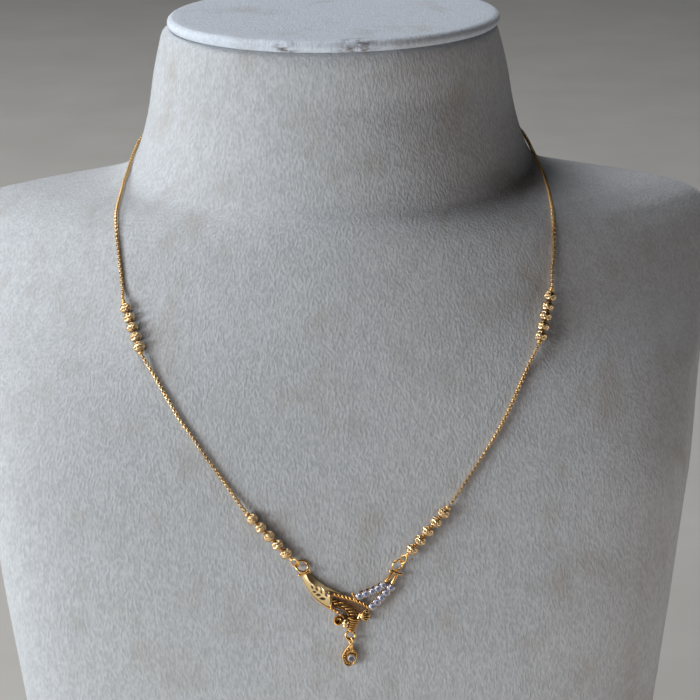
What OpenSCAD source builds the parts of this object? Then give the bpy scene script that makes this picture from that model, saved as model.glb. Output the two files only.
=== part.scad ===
// Short gold necklace with a V-shaped pendant, lying on a velvet neck bust.
// Millimetres, +Z up, front at -Y. The origin is the centre of the flat base of the bust.

/* [Bust] */
// Width across the shoulders
shoulder_w = 220; // [210:1:230]
// Depth of the body from chest to back
chest_d = 130; // [125:1:135]
// Height of the body from its base to the top of the neck
body_h = 276; // [270:1:282]
// Width of the covered cap on the neck
cap_w = 94; // [92:1:98]
// Depth of the covered cap
cap_d = 82; // [80:1:86]
// Thickness of the covered cap
cap_t = 3.6; // [3:0.2:5]

/* [Chain] */
// Thickness of the box chain
chain_d = 1; // [0.8:0.1:1.2]
// Length of the clasp behind the neck
clasp_l = 10; // [8:0.5:12]
// Thickness of the clasp
clasp_d = 3; // [2.4:0.2:3.4]

/* [Beads] */
// Diameter of a gold ball in the upper groups
upper_bead_d = 2.8; // [2.6:0.1:3]
// Diameter of a gold ball in the lower groups
lower_bead_d = 2.7; // [2.5:0.1:2.9]
// Thickness of the wire that the balls are threaded on
bead_wire_d = 0.6; // [0.5:0.1:0.7]
// Mean diameter of the eye loop at the end of a lower wire
eye_d = 2.3; // [2.2:0.1:2.4]

/* [Pendant] */
// Diameter of a stone in the arm
stone_d = 1.52; // [1.4:0.02:1.6]
// Diameter of the stone in the drop
drop_stone_d = 2; // [1.8:0.1:2.1]
// Mean diameter of a side ring
side_ring_d = 3.3; // [3.2:0.1:3.4]
// Thickness of the pendant's sheet metal
sheet_t = 0.6; // [0.5:0.1:0.7]

/* [Hidden] */
$fn = 64;
SIDES = ["left", "right"];

// Colours
velvet = "#b9bcc2";
gold = "#d9a441";
clear_stone = "#e8eef8";

// Gap kept between two pieces, and between a piece and the velvet
piece_gap = 0.05;
skin_gap = 0.1;

// Body of the bust: one row for each level
HEIGHT = 0;
HALF_W = 1;
MIDDLE = 2;
FRONT = 3;
BACK = 4;
PINCH = 5;
body_rows = [
    // height, half width, middle, front depth, back depth, pinch of the ends
    [0, 80, 2, 64, 54, 0.34],
    [40, 83.5, 2, 71, 54, 0.3],
    [80, 88, 2, 76, 54, 0.27],
    [120, 92.3, 2, 76, 54, 0.25],
    [160, 97.8, 4, 70, 51, 0.25],
    [190, 103.5, 8, 63, 46, 0.45],
    [210, 110, 11, 57, 41, 1.2],
    [221, 109, 13, 53.5, 37.5, 1.45],
    [227, 105.5, 14, 51.5, 36, 1.65],
    [231, 95, 14.5, 49.5, 35.5, 1.75],
    [233, 79, 15, 48.5, 35.5, 1.6],
    [234.5, 65.4, 15.5, 47.5, 35.5, 1.2],
    [237, 58.4, 16, 46.5, 36, 0.95],
    [245, 54.3, 16.5, 44.5, 37, 0.95],
    [254, 51.9, 17, 42.5, 38, 1],
    [263, 50.4, 18, 41, 39, 1],
    [272, 48.3, 18, 40.5, 39.5, 1],
    [275, 47.4, 18, 39.6, 38.6, 1],
    [276, 46, 18, 38, 37, 1],
];
// Size that the rows are drawn at, and the scale to the size asked for
drawn = [220, 130, 276];
grow = [shoulder_w / drawn.x, chest_d / drawn.y, body_h / drawn.z];
last_row = len(body_rows) - 1;
body_sides = 56;
body_steps = 2;

// Rise of column c between row i and the next
function rise(c, i) =
    (body_rows[i + 1][c] - body_rows[i][c]) / (body_rows[i + 1][HEIGHT] - body_rows[i][HEIGHT]);

// Slope of column c at row i, flat where the column turns back
function slope(c, i) =
    i == 0 ? rise(c, 0)
    : i == last_row ? rise(c, i - 1)
    : rise(c, i - 1) * rise(c, i) <= 0 ? 0
    : 2 * rise(c, i - 1) * rise(c, i) / (rise(c, i - 1) + rise(c, i));

function row_below(z) = max([for (i = [0 : last_row - 1]) if (body_rows[i][HEIGHT] <= z) i]);

// Value of column c at height z, on a smooth curve through the rows
function column(c, z) =
    let (
        i = row_below(z),
        h = body_rows[i + 1][HEIGHT] - body_rows[i][HEIGHT],
        t = (z - body_rows[i][HEIGHT]) / h,
        s = t * t * (3 - 2 * t)
    )
    body_rows[i][c] * (1 - s) + body_rows[i + 1][c] * s
        + h * t * (1 - t) * (slope(c, i) * (1 - t) - slope(c, i + 1) * t);

// Half depth of the body at height z on the front or back side
function depth(z, back) = column(back ? BACK : FRONT, z);

// Point of the outline at height z, turned from the front
function outline_point(z, turn) =
    let (back = cos(turn) < 0, reach = depth(z, back) * pow(abs(cos(turn)), column(PINCH, z)))
    [column(HALF_W, z) * sin(turn), column(MIDDLE, z) + (back ? reach : -reach), z];

// Point of the skin straight before or behind the place [x, z]
function skin(x, z, back) =
    let (
        share = max(0, 1 - pow(x / column(HALF_W, z), 2)),
        reach = depth(z, back) * pow(share, column(PINCH, z) / 2)
    )
    [x, column(MIDDLE, z) + (back ? reach : -reach), z];

// How far out a point is: 0 on the skin, more outside it
function level(p) =
    let (z = min(p.z, drawn.z), off = p.y - column(MIDDLE, z))
    pow(p.x / column(HALF_W, z), 2) + pow(abs(off) / depth(z, off > 0), 2 / column(PINCH, z)) - 1;

function unit(v) = v / norm(v);
function scaled(p) = [p.x * grow.x, p.y * grow.y, p.z * grow.z];

// Direction straight out of the skin at a point of it
function outward(p) =
    let (h = 0.2)
    unit([
        (level(p + [h, 0, 0]) - level(p - [h, 0, 0])) / grow.x,
        (level(p + [0, h, 0]) - level(p - [0, h, 0])) / grow.y,
        (level(p + [0, 0, h]) - level(p - [0, 0, h])) / grow.z,
    ]);

// Point at a lift above the skin
function lifted(place, lift) =
    let (p = skin(place[0], place[1], false))
    scaled(p) + lift * outward(p);

// Point at a lift above the skin, at a turn from the front and a height
function beside(place, lift) =
    let (p = outline_point(place[1], place[0]))
    scaled(p) + lift * outward(p);

// Cap on the neck
cap_sides = 48;
cap_rim_r = 1.7;
cap_rim_steps = 4;
cap_middle = [1.1, 18];

// Chain round the neck, from the clasp: turn from the front in degrees and height
neck_routes = [
    [
        [-170, 247], [-158, 246.9], [-145, 246.5], [-131, 245.8], [-118, 244.9], [-107, 243.8],
        [-99, 242.6], [-94, 241.5], [-88, 240], [-84.5, 238.9], [-80.8, 237.5], [-76.2, 236.3],
        [-69.5, 235.3], [-59.5, 234.1],
    ],
    [
        [170, 247], [158, 246.9], [145, 246.5], [131, 245.8], [118, 244.9], [107, 243.8],
        [99, 242.4], [94, 241], [88.5, 239.2], [84.3, 237.6], [79.5, 236.4], [71.4, 235.2],
        [63.6, 234.3], [52.9, 233.4],
    ],
];
// Then over the shoulder to the first ball: places [x, z] on the front
upper_routes = [
    [
        [-59.1, 232.3], [-59.1, 230.9], [-58.9, 229.3], [-58.5, 227.2], [-58, 224.3],
        [-57.5, 221.1], [-56.7, 215.3],
    ],
    [
        [60, 231.7], [60, 230.4], [60, 229], [60, 227.2], [59.9, 224.8], [59.7, 221.6],
        [59.1, 217.7],
    ],
];
// From the upper group of balls down to the lower one
lower_routes = [
    [
        [-48.1, 195.7], [-44.5, 190.3], [-41.5, 185.6], [-38.4, 181.6], [-35.4, 177.5],
        [-32.4, 173.7], [-28.9, 169.2],
    ],
    [
        [52, 196.6], [48.4, 190.4], [45.9, 185.7], [43.1, 181.1], [40.3, 177.2], [37.3, 173.2],
        [33.7, 168.4],
    ],
];
clasp_place = [180, 247];
chain_lift = chain_d / 2 + 2 * skin_gap;
end_gap = 0.25;
chain_sides = 8;
ring_every = 5.6 * chain_d;
neck_axis_y = 18 * grow.y;

// Groups of five balls: places [x, z] of the first and the last ball
BALLS = 5;
upper_groups = [[[-55.42, 210.19], [-51.67, 201.25]], [[57.82, 211.1], [54.98, 202.11]]];
lower_groups = [[[-22.34, 160.93], [-13.77, 152.18]], [[28.16, 161.59], [19.85, 152.66]]];
upper_pitch = 2.9;
lower_pitch = 3.2;
bore_clearance = 0.3;
collar_d = 1.1;
upper_tip_l = 1.2;
crimp_d = 1.6;
crimp_l = 0.8;
spacer_d = 1;
eye_wire_d = 0.5;
eye_leans = [34, 52];

// A group as [first ball, direction of the wire, way out of the skin]
function group(ends, bead_d, gap) =
    let (
        a = lifted(ends[0], bead_d / 2 + gap),
        b = lifted(ends[1], bead_d / 2 + gap),
        mid = (ends[0] + ends[1]) / 2
    )
    [a, unit(b - a), outward(skin(mid[0], mid[1], false))];
function upper_group(side) = group(upper_groups[side], upper_bead_d, 2 * skin_gap);
function lower_group(side) = group(lower_groups[side], lower_bead_d, skin_gap);
function along(g, l) = g[0] + g[1] * l;

upper_last = (BALLS - 1) * upper_pitch;
lower_last = (BALLS - 1) * lower_pitch;
upper_tip_end = upper_bead_d / 2 + piece_gap + upper_tip_l;
upper_crimp_end = upper_last + upper_bead_d / 2 + piece_gap + crimp_l;
lower_crimp_end = lower_bead_d / 2 + piece_gap + crimp_l;
eye_neck_l = 0.7;
eye_at = lower_last + lower_bead_d / 2 + eye_neck_l + (eye_d + eye_wire_d) / 2;

// Pendant: its own plane lies on the chest, u across, v up the chest, w out of it
pendant_place = [3.1, 139.5];
side_ring_wire = 0.64;
side_rings = [[-12.5, 9.65, 0.95], [12.8, 9.4, 0.95]];
side_ring_turns = [-23, 50];
side_ring_leans = [-40, 38];
ring_feet = [[-12.2, 8.32, 1.88], [12.47, 7.88, 0.4]];
collars = [[[-13.5, 7.2], [-10.2, 8.4]], [[10.5, 8], [13.9, 6.9]]];
collar_t = 0.7;
plate_w = 1.1;

// Left arm: one row for each section of the folded sheet
arm_rows = [
    // outer edge, ridge, inner edge, height of the ridge
    [[-12.5, 7.3], [-11.6, 7.6], [-10.6, 8], 1.5],
    [[-12.3, 6.1], [-11.1, 6.5], [-9.9, 6.9], 1.7],
    [[-11.8, 4.8], [-10.4, 5.5], [-8.9, 5.9], 1.9],
    [[-10.9, 3.2], [-9.4, 4.7], [-7.7, 4.9], 2.1],
    [[-9.7, 1.5], [-8.3, 4.1], [-6.5, 4], 2.2],
    [[-8.2, 0], [-7, 3.4], [-5.9, 3.7], 2.2],
    [[-6.7, -1.2], [-6, 2.4], [-5.4, 3.5], 2.2],
    [[-5.3, -1.9], [-5.2, 1.3], [-5, 3.3], 2.2],
];
arm_edge_h = 0.6;
// Tapered end of the inner face: place in the flat piece, height, thickness
arm_wedge = [[[-5.3, 1.6, 1.4], 0.9], [[-5.3, 3, 0.7], 0.7], [[-3.3, 2.4, 0.8], 0.7], [[-1.7, 2, 0.8], 0.6]];
// Leaves cut through the arm: centre, length, width, turn
leaves = [
    [[-9.25, 2.95], 1.05, 0.5, -4],
    [[-8.3, 2.15], 1.2, 0.55, -4],
    [[-7.3, 1.15], 1.4, 0.62, -3],
    [[-9.6, 4.05], 0.95, 0.6, -60],
    [[-8.5, 3.75], 1.2, 0.58, -72],
    [[-7.45, 3.1], 1.3, 0.6, -68],
    [[-6.3, 2.2], 1.4, 0.62, -70],
];

// Rope border over the openwork, and the bar that ends the upper row of stones
rope_start = [-4.2, 1.8];
rope_end = [1.2, 0.2];
rope_turns = 5;
rope_slant = 27;
end_bar = [[0.9, 1.8], [1.9, -0.1]];

// Openwork: its two borders, the bent ladder between them and the ribbed stem below
left_border = [[-4.9, 1.1], [-5, -1.9], [-3.2, -2.9], [-2.3, -3.8], [-1.2, -4.6]];
right_border = [[1.6, 0.1], [3.4, -0.6], [4.8, -1.8], [3.9, -3.2]];
ladder_rails = [
    [[-4.9, 0.4], [-3.6, -0.4], [-1.8, -1], [-0.5, -1.7], [0.6, -2.4], [1.6, -3.4], [2, -4.6]],
    [[-4.9, -1.1], [-3.3, -1.8], [-2, -2.5], [-1, -3.6], [-0.4, -4.8]],
];
rail_w = 0.6;
rail_d = 0.6;
rungs = [
    // height, left end, right end
    [-0.8, -4.6, -2.4],
    [-1.6, -3.8, -0.7],
    [-2.4, -2.2, 0.6],
    [-3.2, -1.4, 1.4],
    [-4.2, -1.1, 1.9],
];
rung_d = 0.45;
border_d = 0.7;
border_beads = [[-4.9, -2], [-4, -2.5], [-3.2, -2.9], [-2.4, -3.8]];
stem_top = [0.9, -4.6];
stem_end = [0.1, -8.2];
stem_d = [3, 1.5];
stem_ribs = 5;
cup_at = [-3.2, -5.1];
cup_d = 2.6;
cup_bore = 1.5;
cup_h = 1.9;
small_bar = [[-2, -4.1], [-2, -5.1]];
lobes = [[[-1.1, -5.6], 1.7], [[-1.3, -6.5], 1.4]];

// Ribbed shell on the right of the stem
shell_at = [3.7, -4.1];
shell_d = 3;
shell_ridges = 4;
shell_bar = [[2.1, -4.6], [2.7, -3.3]];

// Right arm: fork, two rows of stones in cups and the prongs between them
fork = [[[11.3, 7.4], [9.7, 5.3]], [[12.5, 7], [11.3, 4.7]]];
fork_d = 0.9;
stone_rows = [
    [[2.6, 1.35], [4.3, 1.95], [5.95, 2.55], [7.5, 3.3], [9, 4.2]],
    [[10.9, 3.45], [9.65, 2.1], [8.4, 0.8], [7.2, -0.4], [6, -1.55]],
];
row_names = ["upper", "lower"];
cup_wall = 0.16;
stone_gap = 0.08;
setting_h = 1.3;
seat_h = 0.7;
prong_d = 0.5;
stone_h = 0.85;
row_links = [[[1.9, 0.9], [2.6, 1.35]], [[5.2, -2], [6, -1.55]], [[9, 4.2], [9.7, 5.3]],
    [[10.9, 3.45], [11.3, 4.7]]];

// Bottom ring and the drop that hangs in it, leaning back on to the velvet
bottom_ring_at = [-0.05, -9.3];
bottom_ring_d = 2.4;
bottom_ring_wire = 0.55;
drop_eye_at = [0.05, -10.65, 1.1];
drop_eye_d = 1.7;
drop_eye_wire = 0.5;
drop_lean = 14;
// Outline of the drop from its neck round the left side, from its eye
drop_outline = [
    [-0.1, -0.9], [-1.2, -2], [-2.15, -3.5], [-2.45, -4.9], [-2.2, -6], [-1.7, -6.9], [-0.95, -7.4],
    [-0.1, -7.3], [0.85, -6.6], [1.4, -5.5], [1.65, -4.4], [1.5, -3.5], [0.9, -2.6], [0.35, -1.8],
];
drop_t = 1.2;
drop_rim = 0.45;
drop_stone_at = [0.05, -5];
drop_grains = [[-0.9, -2.6], [-1.4, -3.5], [-1.7, -4.4], [-1.65, -5.3], [-1.3, -6.1], [-0.7, -6.6],
    [0.1, -6.6], [-0.1, -2.3], [0.5, -3.1]];
grain_d = 0.45;

// Places its children on the skin: x to the right, y up the skin, z out of it
module on_skin(place, lift = 0) {
    p = skin(place[0], place[1], false);
    n = outward(p);
    across = unit([-n.y, n.x, 0]);
    up = cross(n, across);
    at = scaled(p) + lift * n;
    multmatrix([
        [across.x, up.x, n.x, at.x],
        [across.y, up.y, n.y, at.y],
        [across.z, up.z, n.z, at.z],
        [0, 0, 0, 1],
    ]) children();
}

// Places its children on the wire of a group: z along the wire, y out of the skin
module on_wire(g, l) {
    out = unit(g[2] - (g[2] * g[1]) * g[1]);
    across = cross(out, g[1]);
    at = along(g, l);
    multmatrix([
        [across.x, out.x, g[1].x, at.x],
        [across.y, out.y, g[1].y, at.y],
        [across.z, out.z, g[1].z, at.z],
        [0, 0, 0, 1],
    ]) children();
}

// Skin through rings of points, each ring listed anticlockwise from above
module loft(rings) {
    sides = len(rings[0]);
    top = (len(rings) - 1) * sides;
    polyhedron(
        points = [for (r = rings, p = r) p],
        faces = concat(
            [[for (j = [0 : sides - 1]) j]],
            [for (i = [0 : len(rings) - 2], j = [0 : sides - 1])
                [i * sides + j, (i + 1) * sides + j, i * sides + (j + 1) % sides]],
            [for (i = [0 : len(rings) - 2], j = [0 : sides - 1])
                [i * sides + (j + 1) % sides, (i + 1) * sides + j, (i + 1) * sides + (j + 1) % sides]],
            [[for (j = [sides - 1 : -1 : 0]) top + j]]
        )
    );
}

// Ring of a swept wire round point i of a path, with the reference direction up
function swept_ring(path, i, d, sides, up) =
    let (
        a = path[max(i - 1, 0)],
        b = path[min(i + 1, len(path) - 1)],
        t = unit(b - a),
        x = unit(cross(up, t)),
        y = cross(t, x)
    )
    [for (j = [0 : sides - 1]) path[i] + d / 2 * (cos(360 * j / sides) * x + sin(360 * j / sides) * y)];

// Wire of round section along points in a flat piece
module wire(points, d, sides = 6) {
    path = [for (p = points) len(p) == 3 ? p : [p.x, p.y, plate_w]];
    loft([for (i = [0 : len(path) - 1]) swept_ring(path, i, d, sides, [0, 0, 1])]);
}

// Point on a smooth curve through four points, between the middle two
function eased(a, b, c, d, t) =
    ((2 * b) + (c - a) * t + (2 * a - 5 * b + 4 * c - d) * t * t + (3 * b - a - 3 * c + d) * t * t * t) / 2;

// Smooth path through points, with a step about every ring_every
function smooth_path(points) =
    let (n = len(points) - 1)
    concat(
        [for (
            i = [0 : n - 1],
            steps = [max(1, round(norm(points[i + 1] - points[i]) / ring_every))],
            s = [0 : steps - 1]
        ) eased(points[max(i - 1, 0)], points[i], points[i + 1], points[min(i + 2, n)], s / steps)],
        [points[n]]
    );

function clasp_end(side) =
    beside(clasp_place, clasp_d / 2 + skin_gap)
        + [(side == 0 ? -1 : 1) * (clasp_l / 2 + end_gap), 0, 0];
function on_route(route) = [for (r = route) lifted(r, chain_lift)];
function upper_path(side) = concat(
    [clasp_end(side)],
    [for (r = neck_routes[side]) beside(r, chain_lift)],
    on_route(upper_routes[side]),
    [along(upper_group(side), -upper_tip_end - end_gap)]
);
function lower_path(side) = concat(
    [along(upper_group(side), upper_crimp_end + end_gap)],
    on_route(lower_routes[side]),
    [along(lower_group(side), -lower_crimp_end - end_gap)]
);

// Tube that stands for a stretch of box chain
module chain(points) {
    path = smooth_path(points);
    loft([
        for (i = [0 : len(path) - 1])
            swept_ring(path, i, chain_d, chain_sides, unit(path[i] - [0, neck_axis_y, path[i].z]))
    ]);
}

module bust_body() {
    levels = [
        for (i = [0 : last_row - 1], s = [0 : body_steps - 1])
            body_rows[i][HEIGHT] + (body_rows[i + 1][HEIGHT] - body_rows[i][HEIGHT]) * s / body_steps,
        drawn.z
    ];
    color(velvet)
        loft([
            for (z = levels)
                [for (j = [0 : body_sides - 1]) scaled(outline_point(z, 360 * j / body_sides))]
        ]);
}

// Oval at a height, smaller than the cap by an inset
function cap_ring(z, inset) = [
    for (j = [0 : cap_sides - 1])
        let (turn = 360 * j / cap_sides)
        [
            cap_middle.x * grow.x + (cap_w / 2 - inset) * sin(turn),
            cap_middle.y * grow.y - (cap_d / 2 - inset) * cos(turn),
            z,
        ]
];

module neck_cap() {
    floor_z = body_h + 3 * piece_gap;
    top_z = floor_z + cap_t;
    color(velvet)
        loft(concat(
            [for (k = [0 : cap_rim_steps])
                let (a = 90 * k / cap_rim_steps)
                cap_ring(floor_z + cap_rim_r * (1 - cos(a)), cap_rim_r * (1 - sin(a)))],
            [for (k = [0 : cap_rim_steps])
                let (a = 90 * k / cap_rim_steps)
                cap_ring(top_z - cap_rim_r * (1 - sin(a)), cap_rim_r * (1 - cos(a)))]
        ));
}

module clasp() {
    end_d = chain_d + 0.6;
    end_l = 1.2;
    color(gold)
        translate(beside(clasp_place, clasp_d / 2 + skin_gap))
        rotate([0, 90, 0])
        rotate_extrude()
        polygon([
            [0, -clasp_l / 2], [end_d / 2, -clasp_l / 2], [end_d / 2, end_l - clasp_l / 2],
            [clasp_d / 2, 2 * end_l - clasp_l / 2], [clasp_d / 2, clasp_l / 2 - 2 * end_l],
            [end_d / 2, clasp_l / 2 - end_l], [end_d / 2, clasp_l / 2], [0, clasp_l / 2],
        ]);
}

module chain_upper(side) {
    color(gold) chain(upper_path(side));
}

module chain_lower(side) {
    color(gold) chain(lower_path(side));
}

module bead(g, place, d) {
    color(gold)
        on_wire(g, place)
        difference() {
            sphere(d = d);
            cylinder(h = 2 * d, d = bead_wire_d + bore_clearance, center = true);
        }
}

// Solid disc on a wire, from one place along it to another
module disc(from, to, d) {
    translate([0, 0, from]) cylinder(h = to - from, d = d);
}

module bead_wire_upper(side) {
    color(gold)
        on_wire(upper_group(side), 0)
        union() {
            disc(-upper_tip_end, upper_crimp_end, bead_wire_d);
            disc(-upper_tip_end, upper_tip_l - upper_tip_end, collar_d);
            disc(upper_crimp_end - crimp_l, upper_crimp_end, crimp_d);
        }
}

module bead_wire_lower(side) {
    gap = lower_pitch - lower_bead_d - 2 * piece_gap;
    neck_end = eye_at - eye_d / 2;
    color(gold)
        on_wire(lower_group(side), 0)
        union() {
            disc(-lower_crimp_end, neck_end, bead_wire_d);
            disc(-lower_crimp_end, crimp_l - lower_crimp_end, crimp_d);
            for (i = [1 : BALLS - 1])
                disc((i - 0.5) * lower_pitch - gap / 2, (i - 0.5) * lower_pitch + gap / 2, spacer_d);
            disc(lower_last + lower_bead_d / 2 + piece_gap, neck_end, spacer_d);
            translate([0, 0, eye_at])
                rotate([0, 0, eye_leans[side]])
                rotate([90, 0, 0])
                rotate_extrude()
                translate([eye_d / 2, 0])
                circle(d = eye_wire_d, $fn = 32);
        }
}

// Round wire ring in a flat piece
module ring(d, wire_d) {
    rotate_extrude($fn = 18)
        translate([d / 2, 0])
        circle(d = wire_d, $fn = 7);
}

// Bar with round ends between two places in a flat piece
module bar(ends, d, w = plate_w) {
    hull() {
        for (e = ends)
            translate([e.x, e.y, len(e) == 3 ? e.z : w]) sphere(d = d, $fn = 8);
    }
}

// Ring that a wire's eye hangs in: it leans about the line from the eye to its own centre
module side_ring(side) {
    collar_mid = (collars[side][0] + collars[side][1]) / 2;
    translate(side_rings[side])
        rotate([0, 0, side_ring_turns[side]])
        rotate([side_ring_leans[side], 0, 0])
        ring(side_ring_d, side_ring_wire);
    bar(collars[side], collar_t);
    bar([ring_feet[side], [collar_mid.x, collar_mid.y, plate_w]], 0.75);
}

// Sheet folded along a ridge, hollow behind, from the rows of arm_rows
module folded_sheet() {
    rings = [
        for (r = arm_rows) [
            [r[2].x, r[2].y, 0.1],
            [r[2].x, r[2].y, arm_edge_h],
            [r[1].x, r[1].y, r[3]],
            [r[0].x, r[0].y, arm_edge_h],
            [r[0].x, r[0].y, 0.1],
            [r[1].x, r[1].y, r[3] - sheet_t],
        ]
    ];
    n = len(rings) - 1;
    last = 6 * n;
    polyhedron(
        points = [for (r = rings, p = r) p],
        faces = concat(
            [[0, 1, 2], [0, 2, 5], [5, 2, 3], [5, 3, 4]],
            [for (i = [0 : n - 1], j = [0 : 5])
                [6 * i + j, 6 * (i + 1) + j, 6 * i + (j + 1) % 6]],
            [for (i = [0 : n - 1], j = [0 : 5])
                [6 * i + (j + 1) % 6, 6 * (i + 1) + j, 6 * (i + 1) + (j + 1) % 6]],
            [[last + 2, last + 1, last], [last + 5, last + 2, last],
                [last + 3, last + 2, last + 5], [last + 4, last + 3, last + 5]]
        )
    );
}

// Leaf outline: two arcs that meet in points
module leaf(length, width) {
    r = (length * length + width * width) / (4 * width);
    intersection() {
        translate([0, r - width / 2]) circle(r, $fn = 20);
        translate([0, width / 2 - r]) circle(r, $fn = 20);
    }
}

module left_arm() {
    difference() {
        union() {
            folded_sheet();
            hull() {
                for (k = arm_wedge)
                    translate(k[0]) sphere(d = k[1], $fn = 8);
            }
        }
        for (l = leaves)
            translate([l[0].x, l[0].y, -1])
                rotate([0, 0, l[3]])
                linear_extrude(5)
                leaf(l[1], l[2]);
    }
}

module rope() {
    run = rope_end - rope_start;
    wire([rope_start, rope_end], 0.6);
    for (i = [0 : rope_turns - 1])
        translate([
            rope_start.x + run.x * (i + 0.5) / rope_turns,
            rope_start.y + run.y * (i + 0.5) / rope_turns,
            plate_w + 0.1,
        ])
        rotate([0, 0, rope_slant])
        scale([0.78, 0.36, 0.5])
        sphere(r = 1, $fn = 8);
    bar(end_bar, 0.7, plate_w + 0.1);
}

module openwork() {
    wire(left_border, border_d);
    wire(right_border, border_d);
    for (rail = ladder_rails)
        wire([for (p = rail) [p.x, p.y, rail_w]], rail_d);
    for (r = rungs)
        wire([[r[1], r[0], rail_w], [r[2], r[0] + 0.15, rail_w + rail_d / 2]], rung_d);
    for (b = border_beads)
        translate([b.x, b.y, plate_w + 0.2]) sphere(d = 0.8, $fn = 6);
}

// Tapered stem with ribs across it
module stem() {
    run = stem_end - stem_top;
    length = norm(run);
    step = length / stem_ribs;
    function stem_r(s) = (stem_d[0] + (stem_d[1] - stem_d[0]) * s) / 2;
    translate([stem_top.x, stem_top.y, plate_w])
        rotate([0, 0, atan2(run.y, run.x) + 90])
        rotate([90, 0, 0])
        scale([1, 0.55, 1])
        rotate_extrude($fn = 12)
        polygon(concat(
            [[0, 0]],
            [for (i = [0 : stem_ribs - 1], s = [0.15, 0.5, 0.85])
                [stem_r(i / stem_ribs) - (s == 0.5 ? 0 : 0.25), (i + s) * step]],
            [[0, length]]
        ));
}

module cup() {
    difference() {
        translate([cup_at.x, cup_at.y, 0.2]) cylinder(h = cup_h, d = cup_d, $fn = 16);
        translate([cup_at.x, cup_at.y, 0.5]) cylinder(h = cup_h, d = cup_bore, $fn = 16);
    }
    bar([cup_at + [0.9, 0.4], [-1.2, -4.6]], 0.5);
    bar(small_bar, 0.55, plate_w + 0.3);
    for (l = lobes)
        translate([l[0].x, l[0].y, plate_w + 0.1]) sphere(d = l[1], $fn = 10);
}

module shell() {
    translate([shell_at.x, shell_at.y, plate_w - 0.3])
        scale([1, 0.85, 0.6])
        sphere(d = shell_d, $fn = 10);
    for (i = [0 : shell_ridges - 1]) {
        fan = -32 + i * 22;
        translate([shell_at.x - 0.8, shell_at.y - 0.5 + 0.35 * i, plate_w + 0.4])
            rotate([0, 0, fan])
            wire([[0, 0, 0], [2, 0, 0]], 0.6);
    }
    bar(shell_bar, 0.6, plate_w + 0.3);
}

module settings() {
    difference() {
        union() {
            for (row = stone_rows, p = row)
                translate([p.x, p.y, 0.2])
                    cylinder(h = setting_h, d = stone_d + 2 * (stone_gap + cup_wall), $fn = 10);
            for (row = stone_rows, i = [0 : len(row) - 2])
                prongs(row[i], row[i + 1]);
            for (l = row_links)
                wire([[l[0].x, l[0].y, plate_w - 0.3], [l[1].x, l[1].y, plate_w - 0.3]], 0.8);
        }
        for (row = stone_rows, p = row)
            translate([p.x, p.y, 0.2 + seat_h])
                cylinder(h = setting_h, d = stone_d + 2 * stone_gap, $fn = 10);
    }
}

// Two prongs between neighbouring stones
module prongs(a, b) {
    mid = (a + b) / 2;
    run = unit(b - a);
    for (s = [-1, 1])
        translate([mid.x - s * run.y * 0.68, mid.y + s * run.x * 0.68, setting_h + 0.15])
            sphere(d = prong_d, $fn = 5);
}

module pendant_frame() {
    color(gold)
        on_skin(pendant_place, skin_gap)
        union() {
            for (side = [0, 1])
                side_ring(side);
            left_arm();
            rope();
            openwork();
            stem();
            cup();
            shell();
            for (f = fork)
                bar(f, fork_d);
            settings();
            translate([bottom_ring_at.x, bottom_ring_at.y, plate_w])
                ring(bottom_ring_d, bottom_ring_wire);
        }
}

// Round stone cut with eight sides: table, crown, girdle and pavilion
module cut_stone(d, h) {
    levels = [[0.12, 0], [1, 0.52], [1, 0.62], [0.58, 1]];
    loft([
        for (l = levels)
            [for (j = [0 : 7])
                [d / 2 * l[0] * sin(45 * j + 22.5), -d / 2 * l[0] * cos(45 * j + 22.5), h * l[1]]]
    ]);
}

module arm_stone(row, i) {
    p = stone_rows[row][i - 1];
    color(clear_stone)
        on_skin(pendant_place, skin_gap)
        translate([p.x, p.y, 0.2 + seat_h + piece_gap])
        cut_stone(stone_d, stone_h);
}

// Places its children in the plane of the drop, from its eye
module on_drop() {
    on_skin(pendant_place, skin_gap)
        translate(drop_eye_at)
        rotate([drop_lean, 0, 0])
        children();
}

module pendant_drop() {
    rest = drop_stone_at;
    color(gold)
        on_drop()
        union() {
            rotate([0, 90, 0]) ring(drop_eye_d, drop_eye_wire);
            bar([[0, -1], [-0.1, -1.9]], 0.9, 0);
            translate([0, 0, -drop_t / 2])
                difference() {
                    linear_extrude(drop_t) polygon(drop_outline);
                    translate([0, 0, drop_t - 0.35])
                        linear_extrude(drop_t)
                        offset(delta = -drop_rim)
                        polygon(drop_outline);
                    translate([rest.x, rest.y, drop_t / 2])
                        cylinder(h = drop_t, d = drop_stone_d + 0.16, $fn = 18);
                }
            difference() {
                translate([rest.x, rest.y, -drop_t / 2])
                    cylinder(h = drop_t + 0.15, d = drop_stone_d + 0.7, $fn = 18);
                translate([rest.x, rest.y, 0])
                    cylinder(h = drop_t, d = drop_stone_d + 0.16, $fn = 18);
            }
            for (g = drop_grains)
                translate([g.x, g.y, drop_t / 2 - 0.2]) sphere(d = grain_d, $fn = 6);
        }
}

module drop_stone() {
    color(clear_stone)
        on_drop()
        translate([drop_stone_at.x, drop_stone_at.y, piece_gap])
        cut_stone(drop_stone_d, stone_h);
}

bust_body();
neck_cap();
clasp();
for (s = [0, 1]) {
    chain_upper(s);
    chain_lower(s);
    bead_wire_upper(s);
    bead_wire_lower(s);
    for (i = [1 : BALLS]) {
        bead(upper_group(s), (i - 1) * upper_pitch, upper_bead_d);
        bead(lower_group(s), (i - 1) * lower_pitch, lower_bead_d);
    }
}
pendant_frame();
for (r = [0, 1], i = [1 : 5]) {
    arm_stone(r, i);
}
pendant_drop();
drop_stone();
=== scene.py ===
"""Dresses a short gold necklace, and the velvet neck bust that it lies on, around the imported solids.

Sizes are in millimetres, in the frame of the solids: +Z up, the front at -Y, the origin in the middle of the bust's
flat base. They become metres only when a mesh, a light or the camera is made.
"""

from __future__ import annotations

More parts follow.
